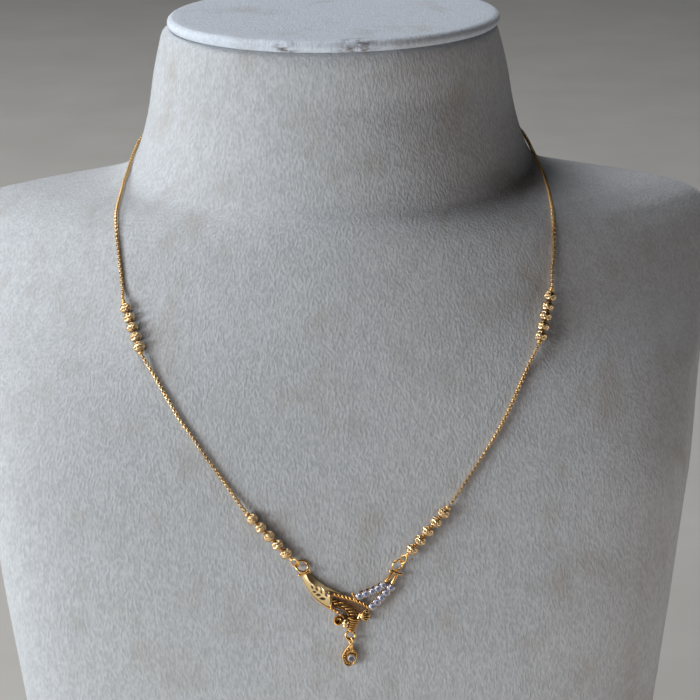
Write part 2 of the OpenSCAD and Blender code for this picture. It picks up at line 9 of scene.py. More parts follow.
import logging
import math
import random
from dataclasses import dataclass, field
from enum import Enum
from typing import NamedTuple, Sequence

import bmesh
import bpy
import numpy as np
from bpy.types import ID, Material, NodeSocket, NodeTree, Object
from mathutils import Matrix

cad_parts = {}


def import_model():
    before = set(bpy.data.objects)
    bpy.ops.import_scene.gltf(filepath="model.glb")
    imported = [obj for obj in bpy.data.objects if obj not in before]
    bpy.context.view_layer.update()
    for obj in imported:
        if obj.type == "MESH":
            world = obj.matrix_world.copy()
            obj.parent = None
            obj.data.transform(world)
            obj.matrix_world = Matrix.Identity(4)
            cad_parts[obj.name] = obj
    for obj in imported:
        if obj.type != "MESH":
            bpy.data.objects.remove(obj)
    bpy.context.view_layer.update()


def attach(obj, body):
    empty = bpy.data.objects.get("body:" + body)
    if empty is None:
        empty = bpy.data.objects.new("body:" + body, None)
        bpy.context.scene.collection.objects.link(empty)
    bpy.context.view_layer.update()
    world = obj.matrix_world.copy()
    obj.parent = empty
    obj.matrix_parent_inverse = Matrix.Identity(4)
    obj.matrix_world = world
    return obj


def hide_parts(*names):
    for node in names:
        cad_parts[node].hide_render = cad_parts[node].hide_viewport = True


LOG = logging.getLogger("necklace")
MM = 0.001
# Degrees at which an edge stays sharp
SOFT_FORM, ROUND_WIRE = 60.0, 40.0
SIDES = ("left", "right")
UP = (0.0, 0.0, 1.0)
Array = np.ndarray
Point = Sequence[float]


# Small tools for points and frames


def vec(*values: float) -> Array:
    """A point or direction as an array."""
    return np.array(values, float)


def unit(v: Array) -> Array:
    """The directions v at length one, row by row."""
    return v / np.linalg.norm(v, axis=-1, keepdims=True)


def square_to(along: Array, v: Array) -> Array:
    """Direction of v, turned square to the direction along."""
    return unit(v - (v @ along) * along)


def run_of(line: Array) -> Array:
    """Distance of each point of a line from its start, along the line."""
    return np.concatenate([[0], np.cumsum(np.linalg.norm(np.diff(line, axis=0), axis=1))])


def circle(radius: float, height: float, sides: int, shift: float = 0.0) -> Array:
    """Points round the z axis, turned by a shift in steps."""
    a = (np.arange(sides) + shift) * 2 * np.pi / sides
    return np.stack([radius * np.cos(a), radius * np.sin(a), np.full(sides, float(height))], 1)


def turn_about(x: float = 0.0, y: float = 0.0, z: float = 0.0) -> Array:
    """Matrix that turns a column about X, then Y, then Z, by degrees."""
    turned = Matrix.Rotation(math.radians(z), 3, "Z")
    turned = turned @ Matrix.Rotation(math.radians(y), 3, "Y") @ Matrix.Rotation(math.radians(x), 3, "X")
    return np.array(turned)


def ease(a: Array, b: Array, c: Array, d: Array, t: float) -> Array:
    """Point at t on a smooth curve through four points, between the middle two."""
    return (2 * b + (c - a) * t + (2 * a - 5 * b + 4 * c - d) * t * t + (3 * b - a - 3 * c + d) * t**3) / 2


def smooth_line(points: Sequence[Point], step: float, closed: bool = False) -> Array:
    """Smooth line through points.

    Args:
        points: The points that it passes.
        step: Distance between the points of the result, about.
        closed: Whether it comes back to its start.

    Returns:
        The line's points, without the start repeated where it is closed.
    """
    p = np.asarray(points, float)
    n = len(p)
    line: list[Array] = []
    for i in range(n if closed else n - 1):
        near = [p[(i + k) % n] if closed else p[min(max(i + k, 0), n - 1)] for k in (-1, 0, 1, 2)]
        steps = max(1, round(float(np.linalg.norm(near[2] - near[1])) / step))
        line += [ease(*near, s / steps) for s in range(steps)]
    return np.array(line if closed else [*line, p[-1]])


@dataclass(frozen=True)
class Place:
    """A spot with three directions of its own, one a row."""

    origin: Array
    axes: Array

    def put(self, points: Array) -> Array:
        """Moves points of this place into the frame of the solids."""
        return self.origin + np.asarray(points, float) @ self.axes

    def child(self, at: Point, turned: Array | None = None) -> Place:
        """The place at a spot of this one, turned by a matrix."""
        turned = np.eye(3) if turned is None else turned
        return Place(self.put(at), turned.T @ self.axes)


WORLD = Place(np.zeros(3), np.eye(3))


# Meshes


def add_object(name: str, data: ID) -> Object:
    """Adds an object with the data to the scene."""
    new = bpy.data.objects.new(name, data)
    bpy.context.scene.collection.objects.link(new)
    return new


class Solid:
    """Vertices and faces of one piece, in millimetres."""

    DOMES = (0.35, 0.7, 0.93)

    def __init__(self, place: Place = WORLD) -> None:
        """Starts with no faces.

        Args:
            place: Where the points that are added lie.
        """
        self.place = place
        self.points: list[Array] = []
        self.faces: list[tuple[int, ...]] = []
        self.shades: list[int] = []
        self.count = 0

    def add(self, points: Array, faces: Sequence[Sequence[int]], shade: int = 0) -> None:
        """Adds points, and faces that count from the first of them.

        Args:
            points: One point a row.
            faces: Corners of each face.
            shade: Which of the piece's materials they have.
        """
        self.points.append(self.place.put(points))
        self.faces += [tuple(self.count + i for i in face) for face in faces]
        self.shades += [shade] * len(faces)
        self.count += len(points)

    def loft(
        self, rings: Sequence[Array], closed: bool = False, tips: tuple | None = None, flat: bool = False,
        shade: int = 0,
    ) -> None:
        """Adds a skin through rings of as many points each.

        Args:
            rings: The rings in order.
            closed: Whether the last ring joins the first.
            tips: The two end points, where the ends aren't closed at the middle of their rings.
            flat: Whether each end is one face.
            shade: Which of the piece's materials it has.
        """
        n, m = len(rings), len(rings[0])
        points = np.vstack(rings)
        faces: list[tuple[int, ...]] = []
        for i in range(n if closed else n - 1):
            a, b = i * m, ((i + 1) % n) * m
            faces += [(a + j, a + (j + 1) % m, b + (j + 1) % m, b + j) for j in range(m)]
        if not closed and flat:
            faces += [tuple(reversed(range(m))), tuple(range((n - 1) * m, n * m))]
        elif not closed:
            ends = [rings[0].mean(0), rings[-1].mean(0)] if tips is None else [np.asarray(t, float) for t in tips]
            points = np.vstack([points, *ends])
            last = (n - 1) * m
            faces += [((j + 1) % m, j, n * m) for j in range(m)]
            faces += [(last + j, last + (j + 1) % m, n * m + 1) for j in range(m)]
        self.add(points, faces, shade)

    def tube(
        self, path: Sequence[Point], radius: float | Sequence[float], sides: int = 10, closed: bool = False,
        up: Point = UP,
    ) -> None:
        """Adds a round bar along a path, with domed ends.

        Args:
            path: Middle line.
            radius: Radius, one or one for each point.
            sides: Sides of its section.
            closed: Whether it is a loop.
            up: Direction across the path that the section starts from.
        """
        p = np.asarray(path, float)
        r = np.broadcast_to(np.asarray(radius, float), (len(p),))
        ahead = np.roll(p, -1, 0) if closed else np.vstack([p[1:], p[-1:]])
        behind = np.roll(p, 1, 0) if closed else np.vstack([p[:1], p[:-1]])
        t = unit(ahead - behind)
        x = unit(np.cross(np.asarray(up, float), t))
        y = np.cross(t, x)
        a = np.arange(sides) * 2 * np.pi / sides
        round_at = [np.cos(a)[:, None] * x[i] + np.sin(a)[:, None] * y[i] for i in range(len(p))]
        rings = [p[i] + r[i] * round_at[i] for i in range(len(p))]
        if closed:
            self.loft(rings, closed=True)
            return
        for e, way in ((0, -1), (len(p) - 1, 1)):
            dome = [p[e] + r[e] * (way * s * t[e] + math.sqrt(1 - s * s) * round_at[e]) for s in self.DOMES]
            rings = dome[::-1] + rings if e == 0 else rings + dome
        self.loft(rings, tips=(p[0] - r[0] * t[0], p[-1] + r[-1] * t[-1]))

    def hoop(
        self, middle: Point, x: Array, y: Array, radius: float, wire: float, steps: int = 36, sides: int = 12
    ) -> None:
        """Adds a ring of round wire.

        Args:
            middle: Its centre.
            x: First direction of its plane.
            y: Second direction of its plane.
            radius: Radius of the wire's middle line.
            wire: Radius of the wire.
            steps: Points round the ring.
            sides: Sides of the wire.
        """
        a = np.arange(steps)[:, None] * 2 * np.pi / steps
        path = np.asarray(middle, float) + radius * (np.cos(a) * x + np.sin(a) * y)
        self.tube(path, wire, sides, closed=True, up=np.cross(x, y))

    def ball(
        self, middle: Point, radii: float | Point, turned: Array | None = None, sides: int = 20, shade: int = 0
    ) -> None:
        """Adds a ball or an egg shape.

        Args:
            middle: Its centre.
            radii: One radius, or one for each axis.
            turned: Matrix of its turn.
            sides: Sides of its widest ring.
            shade: Which of the piece's materials it has.
        """
        r = np.broadcast_to(np.asarray(radii, float), (3,))
        turned = np.eye(3) if turned is None else turned
        half = sides // 2
        levels = [math.pi * i / half for i in range(1, half)]
        rings = [np.asarray(middle, float) + (circle(np.sin(b), -np.cos(b), sides) * r) @ turned.T for b in levels]
        tips = tuple(np.asarray(middle, float) + (vec(0, 0, s) * r) @ turned.T for s in (-1, 1))
        self.loft(rings, tips=tips, shade=shade)

    def lathe(
        self, profile: Sequence[Point], sides: int, at: Point = (0.0, 0.0, 0.0), closed: bool = False, shade: int = 0
    ) -> None:
        """Adds a turned shape.

        Args:
            profile: Radius and height of each ring.
            sides: Sides round it.
            at: Where its axis starts.
            closed: Whether the profile comes back to its start, as a tube's wall does.
            shade: Which of the piece's materials it has.
        """
        rings = [np.asarray(at, float) + circle(r, z, sides) for r, z in profile]
        self.loft(rings, closed=closed, shade=shade)

    def build(self, name: str, finishes: Sequence[Material], sharp: float) -> Object:
        """Makes the object.

        Args:
            name: Its name.
            finishes: Its materials in the order of shade.
            sharp: Edges that turn by more degrees than this stay sharp; 0 keeps every face flat.

        Returns:
            The new object, in metres.
        """
        mesh = bpy.data.meshes.new(name)
        mesh.from_pydata((np.vstack(self.points) * MM).tolist(), [], self.faces)
        mesh.polygons.foreach_set("material_index", self.shades)
        work = bmesh.new()
        work.from_mesh(mesh)
        bmesh.ops.recalc_face_normals(work, faces=work.faces)
        work.to_mesh(mesh)
        work.free()
        for finish in finishes:
            mesh.materials.append(finish)
        if sharp > 0:
            mesh.shade_smooth()
            mesh.set_sharp_from_angle(angle=math.radians(sharp))
        return add_object(name, mesh)


# Materials


def srgb(code: str) -> tuple[float, float, float, float]:
    """Linear colour of an sRGB hex value."""
    shares = [int(code[i : i + 2], 16) / 255 for i in (1, 3, 5)]
    linear = [s / 12.92 if s <= 0.04045 else ((s + 0.055) / 1.055) ** 2.4 for s in shares]
    return (linear[0], linear[1], linear[2], 1.0)


def add_node(tree: NodeTree, kind: str, inputs: dict, out: int | str = 0, **settings: object) -> NodeSocket | None:
    """Adds a node to a material or to the room's air.

    Args:
        tree: The nodes.
        kind: The kind of shader node.
        inputs: A value, or the output of another node, for each input by name or number.
        out: Which output is wanted, by name or number.
        **settings: The node's own settings.

    Returns:
        The wanted output, or None for a node that has none.
    """
    node = tree.nodes.new(f"ShaderNode{kind}")
    for name, value in settings.items():
        setattr(node, name, value)
    for name, value in inputs.items():
        if isinstance(value, NodeSocket):
            tree.links.new(value, node.inputs[name])
        else:
            node.inputs[name].default_value = value
    return node.outputs[out] if node.outputs else None


def patches(tree: NodeTree, size_mm: Point, detail: float, lean: float = 0.0) -> NodeSocket:
    """Soft random patches in the object's own frame.

    Args:
        tree: The material's nodes.
        size_mm: Size of a patch along X, Y and Z.
        detail: Finer octaves.
        lean: Degrees that the patches lean about Y.

    Returns:
        Output from 0 to 1, about 0.5 on average.
    """
    where = add_node(tree, "TexCoord", {}, "Object")
    scale = [1 / (s * MM) for s in size_mm]
    inputs = {"Vector": where, "Rotation": (0, math.radians(lean), 0), "Scale": scale}
    scaled = add_node(tree, "Mapping", inputs)
    return add_node(tree, "TexNoise", {"Vector": scaled, "Scale": 1.0, "Detail": detail})


@dataclass(frozen=True)
class Finish:
    """A surface; its name says what it is of and how it was made."""

    name: str

    def skin(self, tree: NodeTree) -> NodeSocket:
        """Builds the shader; each kind of finish has its own."""
        raise NotImplementedError

    def make(self) -> Material:
        """Builds the material."""
        material = bpy.data.materials.new(self.name)
        material.use_nodes = True
        material.node_tree.nodes.clear()
        add_node(material.node_tree, "OutputMaterial", {"Surface": self.skin(material.node_tree)})
        return material


@dataclass(frozen=True)
class VelvetFinish(Finish):
    """Cotton velvet: short cut pile, stretched over a form and brushed by hand.

    The pile stands in small tufts that lean different ways, so the eye sees fine upright flecks, softer brush marks
    of a few millimetres, and an edge that catches light where the pile is seen from the side.
    """

    name: str = "velvet_cut_pile_brushed"
    pile: str = "#b4b7bb"
    pile_turned: str = "#c9ccd0"
    dust: str = "#a39a90"
    scuff: str = "#4f3c2e"
    fleck_mm: Point = (0.62, 0.62, 1.5)
    fleck_share: float = 0.74
    fleck_lean: float = 12.0
    brush_mm: Point = (2.6, 2.6, 5.5)
    brush_lean: float = -9.0
    dust_mm: Point = (13.0, 13.0, 17.0)
    dust_share: float = 0.55
    worn_mm: Point = (2.2, 2.2, 1.1)
    scuff_share: float = 0.9
    pile_depth_mm: float = 0.5
    roughness: float = 0.95
    sheen: float = 0.35
    scuffs: tuple[tuple[float, float, float, float], ...] = ()

    def scuffed(self, tree: NodeTree, colour: NodeSocket, scuff: Point) -> NodeSocket:
        """Rubs a brown scuff into the pile.

        Args:
            tree: The material's nodes.
            colour: The colour so far.
            scuff: Its place and its size.

        Returns:
            The colour with the scuff in it.
        """
        spot, size = [v * MM for v in scuff[:3]], scuff[3] * MM
        where = add_node(tree, "TexCoord", {}, "Object")
        far = add_node(tree, "VectorMath", {0: where, 1: spot}, "Value", operation="DISTANCE")
        near = add_node(tree, "MapRange", {0: far, 1: size, 2: size * 0.3})
        broken = add_node(tree, "MapRange", {0: patches(tree, self.worn_mm, 3.0), 1: 0.4, 2: 0.62})
        worn = add_node(tree, "Math", {0: near, 1: broken}, operation="MULTIPLY")
        share = add_node(tree, "Math", {0: worn, 1: self.scuff_share}, operation="MULTIPLY")
        return add_node(tree, "Mix", {0: share, 6: colour, 7: srgb(self.scuff)}, 2, data_type="RGBA")

    def skin(self, tree: NodeTree) -> NodeSocket:
        """Builds the pile, its flecks, brush marks, dust and scuffs."""
        flecks = {0: patches(tree, self.fleck_mm, 2.0, self.fleck_lean), 1: self.fleck_share}
        fleck = add_node(tree, "Math", flecks, operation="MULTIPLY")
        marks = {0: patches(tree, self.brush_mm, 3.0, self.brush_lean), 1: 1 - self.fleck_share, 2: fleck}
        nap = add_node(tree, "Math", marks, operation="MULTIPLY_ADD")
        turned = add_node(tree, "MapRange", {0: nap, 1: 0.38, 2: 0.62})
        tones = {0: turned, 6: srgb(self.pile), 7: srgb(self.pile_turned)}
        colour = add_node(tree, "Mix", tones, 2, data_type="RGBA")
        dust = add_node(tree, "MapRange", {0: patches(tree, self.dust_mm, 4.0), 1: 0.54, 2: 0.8})
        dusty = add_node(tree, "Math", {0: dust, 1: self.dust_share}, operation="MULTIPLY")
        colour = add_node(tree, "Mix", {0: dusty, 6: colour, 7: srgb(self.dust)}, 2, data_type="RGBA")
        for scuff in self.scuffs:
            colour = self.scuffed(tree, colour, scuff)
        bump = add_node(tree, "Bump", {"Height": nap, "Strength": 0.6, "Distance": self.pile_depth_mm * MM})
        inputs = {
            "Base Color": colour,
            "Roughness": self.roughness,
            "Specular IOR Level": 0.15,
            "Sheen Weight": self.sheen,
            "Sheen Roughness": 0.45,
            "Normal": bump,
        }
        return add_node(tree, "BsdfPrincipled", inputs)


@dataclass(frozen=True)
class GoldFinish(Finish):
    """Yellow gold of about 22 carats. How its surface was made is in its name.

    Painted shade: where an ambient-occlusion mask finds a hollow, the colour turns to a darker, warmer one, standing
    in for the shade and the metal's reflection of itself there; elsewhere it is cream.
    """

    colour: str = "#ffcf88"
    hollow: str = "#8a5520"
    roughness: float = 0.22
    grain_mm: float = 0.5
    grain_depth_mm: float = 0.01
    hollow_mm: float = 0.6
    open_from: float = 0.3
    open_to: float = 0.95

    def skin(self, tree: NodeTree) -> NodeSocket:
        """Builds the metal with its grain, and painted shade in its hollows."""
        grain = patches(tree, (self.grain_mm,) * 3, 2.0)
        # Painted shade: the ambient occlusion picks out the hollows, and the darker colour is mixed in there.
        near = add_node(tree, "AmbientOcclusion", {"Distance": self.hollow_mm * MM}, "AO", samples=4)
        share = add_node(tree, "MapRange", {0: near, 1: self.open_from, 2: self.open_to})
        tones = {0: share, 6: srgb(self.hollow), 7: srgb(self.colour)}
        colour = add_node(tree, "Mix", tones, 2, data_type="RGBA")
        bump = add_node(tree, "Bump", {"Height": grain, "Strength": 0.5, "Distance": self.grain_depth_mm * MM})
        rough = add_node(tree, "MapRange", {0: grain, 3: self.roughness * 0.75, 4: self.roughness * 1.3})
        inputs = {"Base Color": colour, "Metallic": 1.0, "Roughness": rough, "Normal": bump}
        return add_node(tree, "BsdfPrincipled", inputs)


@dataclass(frozen=True)
class StoneFinish(Finish):
    """Cut and polished zirconia.

    Painted reflection: the crown's facets are coloured pale for the pale room that they throw back, and the table
    dark for the dark heart seen through it.
    """

    colour: str
    cloud: str
    clearness: float
    roughness: float
    ior: float = 2.15
    cloud_mm: Point = (0.4, 0.4, 0.4)

    def skin(self, tree: NodeTree) -> NodeSocket:
        """Builds the stone, a little cloudy so that its facets differ."""
        tones = {0: patches(tree, self.cloud_mm, 1.0), 6: srgb(self.colour), 7: srgb(self.cloud)}
        inputs = {
            "Base Color": add_node(tree, "Mix", tones, 2, data_type="RGBA"),
            "Roughness": self.roughness,
            "IOR": self.ior,
            "Transmission Weight": self.clearness,
        }
        return add_node(tree, "BsdfPrincipled", inputs)


@dataclass(frozen=True)
class FloorFinish(Finish):
    """Pale painted board: matt, with a faint roller mottle."""

    name: str = "board_painted_matt"
    light: str = "#d2cfca"
    dark: str = "#cbc8c3"
    mottle_mm: Point = (60.0, 60.0, 60.0)

    def skin(self, tree: NodeTree) -> NodeSocket:
        """Builds the paint."""
        mottle = add_node(tree, "MapRange", {0: patches(tree, self.mottle_mm, 3.0), 1: 0.3, 2: 0.7})
        colour = add_node(tree, "Mix", {0: mottle, 6: srgb(self.dark), 7: srgb(self.light)}, 2, data_type="RGBA")
        return add_node(tree, "BsdfPrincipled", {"Base Color": colour, "Roughness": 0.8})


class Metal(Enum):
    """The ways the necklace's metal is made, and the painted shade that each carries."""

    DRAWN = GoldFinish("gold_drawn_wire_polished", "#f8cf90", "#6c390e", 0.3, hollow_mm=0.4)
    # Painted shade: a wide, dark mask darkens the balls where they face each other and the velvet.
    DIAMOND_CUT = GoldFinish("gold_diamond_cut", "#f4d3a1", "#5a2a06", 0.25, 0.35, 0.03, 1.2, 0.45)
    CAST = GoldFinish("gold_cast_polished", hollow="#6d3f14", roughness=0.24, hollow_mm=0.8)
    SATIN = GoldFinish("gold_sheet_satin", "#ffe2ab", "#8a4d16", 0.32, 0.25, 0.012)
    # Painted shade: a darker copy of the cast gold, for the openwork that lies in shade; it is rougher too.
    PICKLED = GoldFinish("gold_cast_matt_painted_shade", "#efbb72", "#603610", 0.38, hollow_mm=0.8)
    # Painted reflection: the wire's hollows turn a warm orange, for the balls' glow thrown onto it.
    THREADED = GoldFinish("gold_drawn_wire_between_balls", "#ffd690", "#e0963c", 0.45, hollow_mm=0.4)
    # Painted shade: a darker, duller copy of the gold, for the net deep in the openwork's shade.
    UNPOLISHED = GoldFinish("gold_cast_matt_painted_deep_shade", "#c49a66", "#7d5a38", 0.5)
    WHITE = GoldFinish("gold_cast_rhodium_flashed", "#f6f6ff", "#b9bccb", 0.34, open_from=0.1, open_to=0.6)


class Facet(Enum):
    """The parts of a cut stone, coloured with painted reflections: a pale crown and a dark table."""

    CROWN = StoneFinish("zirconia_crown_painted_pale_reflection", "#e9e9f3", "#d3d6e8", 0.1, 0.12)
    TABLE = StoneFinish("zirconia_table_painted_dark_reflection", "#6d7096", "#989bbc", 0.15, 0.12)
    DEEP_TABLE = StoneFinish("zirconia_table_painted_darker", "#1f1d22", "#403e48", 0.15, 0.3)


class Finishes:
    """Makes each material once."""

    def __init__(self) -> None:
        """Starts with none made."""
        self.made: dict[str, Material] = {}

    def get(self, wanted: Finish | Metal | Facet) -> Material:
        """The material of a finish."""
        finish = wanted.value if isinstance(wanted, Enum) else wanted
        if finish.name not in self.made:
            self.made[finish.name] = finish.make()
        return self.made[finish.name]

    def dress(self, solid: Solid, name: str, slot: str, node: str, *wanted: Finish | Metal, sharp: float) -> None:
        """Makes a piece of a solid, fixes it to the bust and hides the solid that it stands for.

        Args:
            solid: Its shape.
            name: Its name.
            slot: Not used.
            node: The CAD solid's node.
            *wanted: Its finishes in the order of shade.
            sharp: Edges that turn by more degrees than this stay sharp.
        """
        hand_in(solid.build(name, [self.get(w) for w in wanted], sharp), node)


def hand_in(piece: Object, node: str) -> None:
    """Fixes a piece to the bust and hides the solid that it stands for."""
    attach(piece, "root")
    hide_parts(node)
    triangles = sum(len(p.vertices) - 2 for p in piece.data.polygons)
    LOG.info("%s: %d triangles, for %s", piece.name, triangles, node)


# The bust


class BodyRow(NamedTuple):
    """One level of the bust's body."""

    height: float
    half: float
    middle: float
    front: float
    back: float
    pinch: float


BODY_ROWS = tuple(BodyRow(*row) for row in (
    (0, 80, 2, 64, 54, 0.34),
    (40, 83.5, 2, 71, 54, 0.3),
    (80, 88, 2, 76, 54, 0.27),
    (120, 92.3, 2, 76, 54, 0.25),
    (160, 97.8, 4, 70, 51, 0.25),
    (190, 103.5, 8, 63, 46, 0.45),
    (210, 110, 11, 57, 41, 1.2),
    (221, 109, 13, 53.5, 37.5, 1.45),
    (227, 105.5, 14, 51.5, 36, 1.65),
    (231, 95, 14.5, 49.5, 35.5, 1.75),
    (233, 79, 15, 48.5, 35.5, 1.6),
    (234.5, 65.4, 15.5, 47.5, 35.5, 1.2),
    (237, 58.4, 16, 46.5, 36, 0.95),
    (245, 54.3, 16.5, 44.5, 37, 0.95),
    (254, 51.9, 17, 42.5, 38, 1),
    (263, 50.4, 18, 41, 39, 1),
    (272, 48.3, 18, 40.5, 39.5, 1),
    (275, 47.4, 18, 39.6, 38.6, 1),
    (276, 46, 18, 38, 37, 1),
))


@dataclass
class BustForm:
    """The form of the body, which the necklace's places are measured on."""

    rows: tuple[BodyRow, ...] = BODY_ROWS
    table: Array = field(init=False)
    slopes: Array = field(init=False)

    def __post_init__(self) -> None:
        """Works out the slope of each column at each row."""
        self.table = np.array(self.rows, float)
        rises = np.diff(self.table[:, 1:], axis=0) / np.diff(self.table[:, :1], axis=0)
        low, high = rises[:-1], rises[1:]
        both = low * high
        between = np.where(both > 0, 2 * both / np.where(both > 0, low + high, 1), 0)
        self.slopes = np.vstack([rises[:1], between, rises[-1:]])

    def row(self, z: float) -> BodyRow:
        """The body's measures at height z, on a smooth curve through the rows."""
        heights = self.table[:, 0]
        i = int(min(max(np.searchsorted(heights, z, "right") - 1, 0), len(heights) - 2))
        h = heights[i + 1] - heights[i]
        t = (z - heights[i]) / h
        s = t * t * (3 - 2 * t)
        values = self.table[i, 1:] * (1 - s) + self.table[i + 1, 1:] * s
        values = values + h * t * (1 - t) * (self.slopes[i] * (1 - t) - self.slopes[i + 1] * t)
        return BodyRow(z, *values)

    def ring(self, z: float, sides: int, inset: float = 0.0) -> Array:
        """Evenly spaced outline at height z, drawn in by an inset."""
        row = self.row(z)
        turn = np.linspace(0, 2 * np.pi, 2881)
        c, s = np.cos(turn), np.sin(turn)
        reach = np.where(c < 0, row.back - inset, -(row.front - inset)) * np.abs(c) ** row.pinch
        line = np.stack([(row.half - inset) * s, row.middle + reach, np.full(len(turn), z)], 1)
        lengths = run_of(line)
        even = np.arange(sides) * lengths[-1] / sides
        return np.stack([np.interp(even, lengths, column) for column in line.T], 1)

    def skin(self, x: float, z: float) -> Array:
        """Point of the skin straight before the place x, z."""
        row = self.row(z)
        share = max(0.0, 1 - (x / row.half) ** 2) ** (row.pinch / 2)
        return vec(x, row.middle - row.front * share, z)

    def level(self, p: Array) -> float:
        """How far out a point is: 0 on the skin, more outside it."""
        row = self.row(min(p[2], self.rows[-1].height))
        off = p[1] - row.middle
        depth = row.back if off > 0 else row.front
        return (p[0] / row.half) ** 2 + (abs(off) / depth) ** (2 / row.pinch) - 1

    def outward(self, p: Array) -> Array:
        """Direction straight out of the skin at a point of it."""
        steps = 0.2 * np.eye(3)
        return unit(np.array([self.level(p + s) - self.level(p - s) for s in steps]))

    def lifted(self, place: Point, lift: float) -> Array:
        """Point at a lift above the skin, before the place x, z."""
        p = self.skin(place[0], place[1])
        return p + lift * self.outward(p)

    def beside(self, place: Point, lift: float) -> Array:
        """Point at a lift above the skin, at a turn from the front in degrees and a height."""
        row, turn = self.row(place[1]), math.radians(place[0])
        reach = (row.back if math.cos(turn) < 0 else -row.front) * abs(math.cos(turn)) ** row.pinch
        p = vec(row.half * math.sin(turn), row.middle + reach, place[1])
        return p + lift * self.outward(p)


def rounding(radius: float, steps: int) -> list[tuple[float, float]]:
    """Rise and inset of each step round the lower edge of a form."""
    turns = [math.pi / 2 * k / steps for k in range(steps + 1)]
    return [(radius * (1 - math.cos(a)), radius * (1 - math.sin(a))) for a in turns]


@dataclass
class NeckBust:
    """The velvet bust: its body and the covered cap on its neck."""

    form: BustForm
    finishes: Finishes
    sides: int = 288
    spans: tuple = ((1.5, 200, 2.5), (200, 226, 1.3), (226, 248, 0.55), (248, 271, 1.6), (271, 276, 0.35))
    base_inset: float = 12.0
    base_round: float = 1.5
    top_insets: tuple = (1.5, 6.0, 20.0)
    cap_sides: int = 240
    cap_width: float = 94.0
    cap_depth: float = 82.0
    cap_thickness: float = 3.6
    cap_floor: float = 276.15
    cap_rim: float = 1.7
    cap_middle: Point = (1.1, 18.0)
    cap_crown: float = 0.3
    cap_under: tuple = (30.0, 15.0, 6.0)
    cap_over: tuple = (4.0, 8.0, 14.0, 22.0, 30.0, 37.0)
    cap_scuffs: tuple = ((-12.0, -22.6, 276.9, 4.5), (7.6, -23.0, 276.9, 6.5))

    def levels(self) -> list[float]:
        """Heights of the body's rings above its rounded base, close together where it bends most."""
        heights: list[float] = []
        for low, high, step in self.spans:
            n = round((high - low) / step)
            heights += [low + (high - low) * i / n for i in range(n)]
        return heights[1:] + [self.spans[-1][1]]

    def body(self) -> None:
        """Builds the body."""
        base = [(0.0, self.base_inset), *rounding(self.base_round, 5)]
        top = [(self.spans[-1][1], inset) for inset in self.top_insets]
        rings = [*base, *((z, 0.0) for z in self.levels()), *top]
        solid = Solid()
        solid.loft([self.form.ring(z, self.sides, inset) for z, inset in rings])
        self.finishes.dress(solid, "bust_velvet_body", "velvet", "bust_body", VelvetFinish(), sharp=SOFT_FORM)

    def oval(self, z: float, inset: float) -> Array:
        """Oval at height z, smaller than the cap by an inset."""
        a = np.arange(self.cap_sides) * 2 * np.pi / self.cap_sides
        x = self.cap_middle[0] + (self.cap_width / 2 - inset) * np.sin(a)
        y = self.cap_middle[1] - (self.cap_depth / 2 - inset) * np.cos(a)
        return np.stack([x, y, np.full(self.cap_sides, z)], 1)

    def cap(self) -> None:
        """Builds the cap, with the velvet drawn over its rim."""
        top = self.cap_floor + self.cap_thickness
        edge = rounding(self.cap_rim, 8)
        rings = [(self.cap_floor, inset) for inset in self.cap_under]
        rings += [(self.cap_floor + rise, inset) for rise, inset in edge]
        rings += [(top - self.cap_crown - drop, inset) for inset, drop in edge]
        fall = [(inset, 1 - inset / (self.cap_depth / 2)) for inset in self.cap_over]
        rings += [(top - self.cap_crown * share**2, inset) for inset, share in fall]
        solid = Solid()
        solid.loft([self.oval(z, inset) for z, inset in rings])
        # Painted light: the cap's velvet is a lighter, bluer copy of the body's, standing in for the skylight on its
        # top.
        velvet = VelvetFinish("velvet_cut_pile_cap_painted_skylight", "#cad2dd", "#dbe3ee", scuffs=self.cap_scuffs)
        self.finishes.dress(solid, "bust_velvet_cap", "velvet", "neck_cap", velvet, sharp=SOFT_FORM)

    def build(self) -> None:
        """Builds the body and the cap."""
        self.body()
        self.cap()


# The chain and its balls

# Turn from the front in degrees and height, from the clasp round the neck
NECK_ROUTES = (
    (
        (-170, 247), (-158, 246.9), (-145, 246.5), (-131, 245.8), (-118, 244.9), (-107, 243.8), (-99, 242.6),
        (-94, 241.5), (-88, 240), (-84.5, 238.9), (-80.8, 237.5), (-76.2, 236.3), (-69.5, 235.3), (-59.5, 234.1),
    ),
    (
        (170, 247), (158, 246.9), (145, 246.5), (131, 245.8), (118, 244.9), (107, 243.8), (99, 242.4), (94, 241),
        (88.5, 239.2), (84.3, 237.6), (79.5, 236.4), (71.4, 235.2), (63.6, 234.3), (52.9, 233.4),
    ),
)
# Places x, z on the front, over the shoulder to the first ball
UPPER_ROUTES = (
    ((-59.1, 232.3), (-59.1, 230.9), (-58.9, 229.3), (-58.5, 227.2), (-58, 224.3), (-57.5, 221.1), (-56.7, 215.3)),
    ((60, 231.7), (60, 230.4), (60, 229), (60, 227.2), (59.9, 224.8), (59.7, 221.6), (59.1, 217.7)),
)
# From the upper group of balls down to the lower one
LOWER_ROUTES = (
    ((-48.1, 195.7), (-44.5, 190.3), (-41.5, 185.6), (-38.4, 181.6), (-35.4, 177.5), (-32.4, 173.7), (-28.9, 169.2)),
    ((52, 196.6), (48.4, 190.4), (45.9, 185.7), (43.1, 181.1), (40.3, 177.2), (37.3, 173.2), (33.7, 168.4)),
)


class Group(Enum):
    """The two groups of balls on each side of the necklace."""

    UPPER = "upper"
    LOWER = "lower"


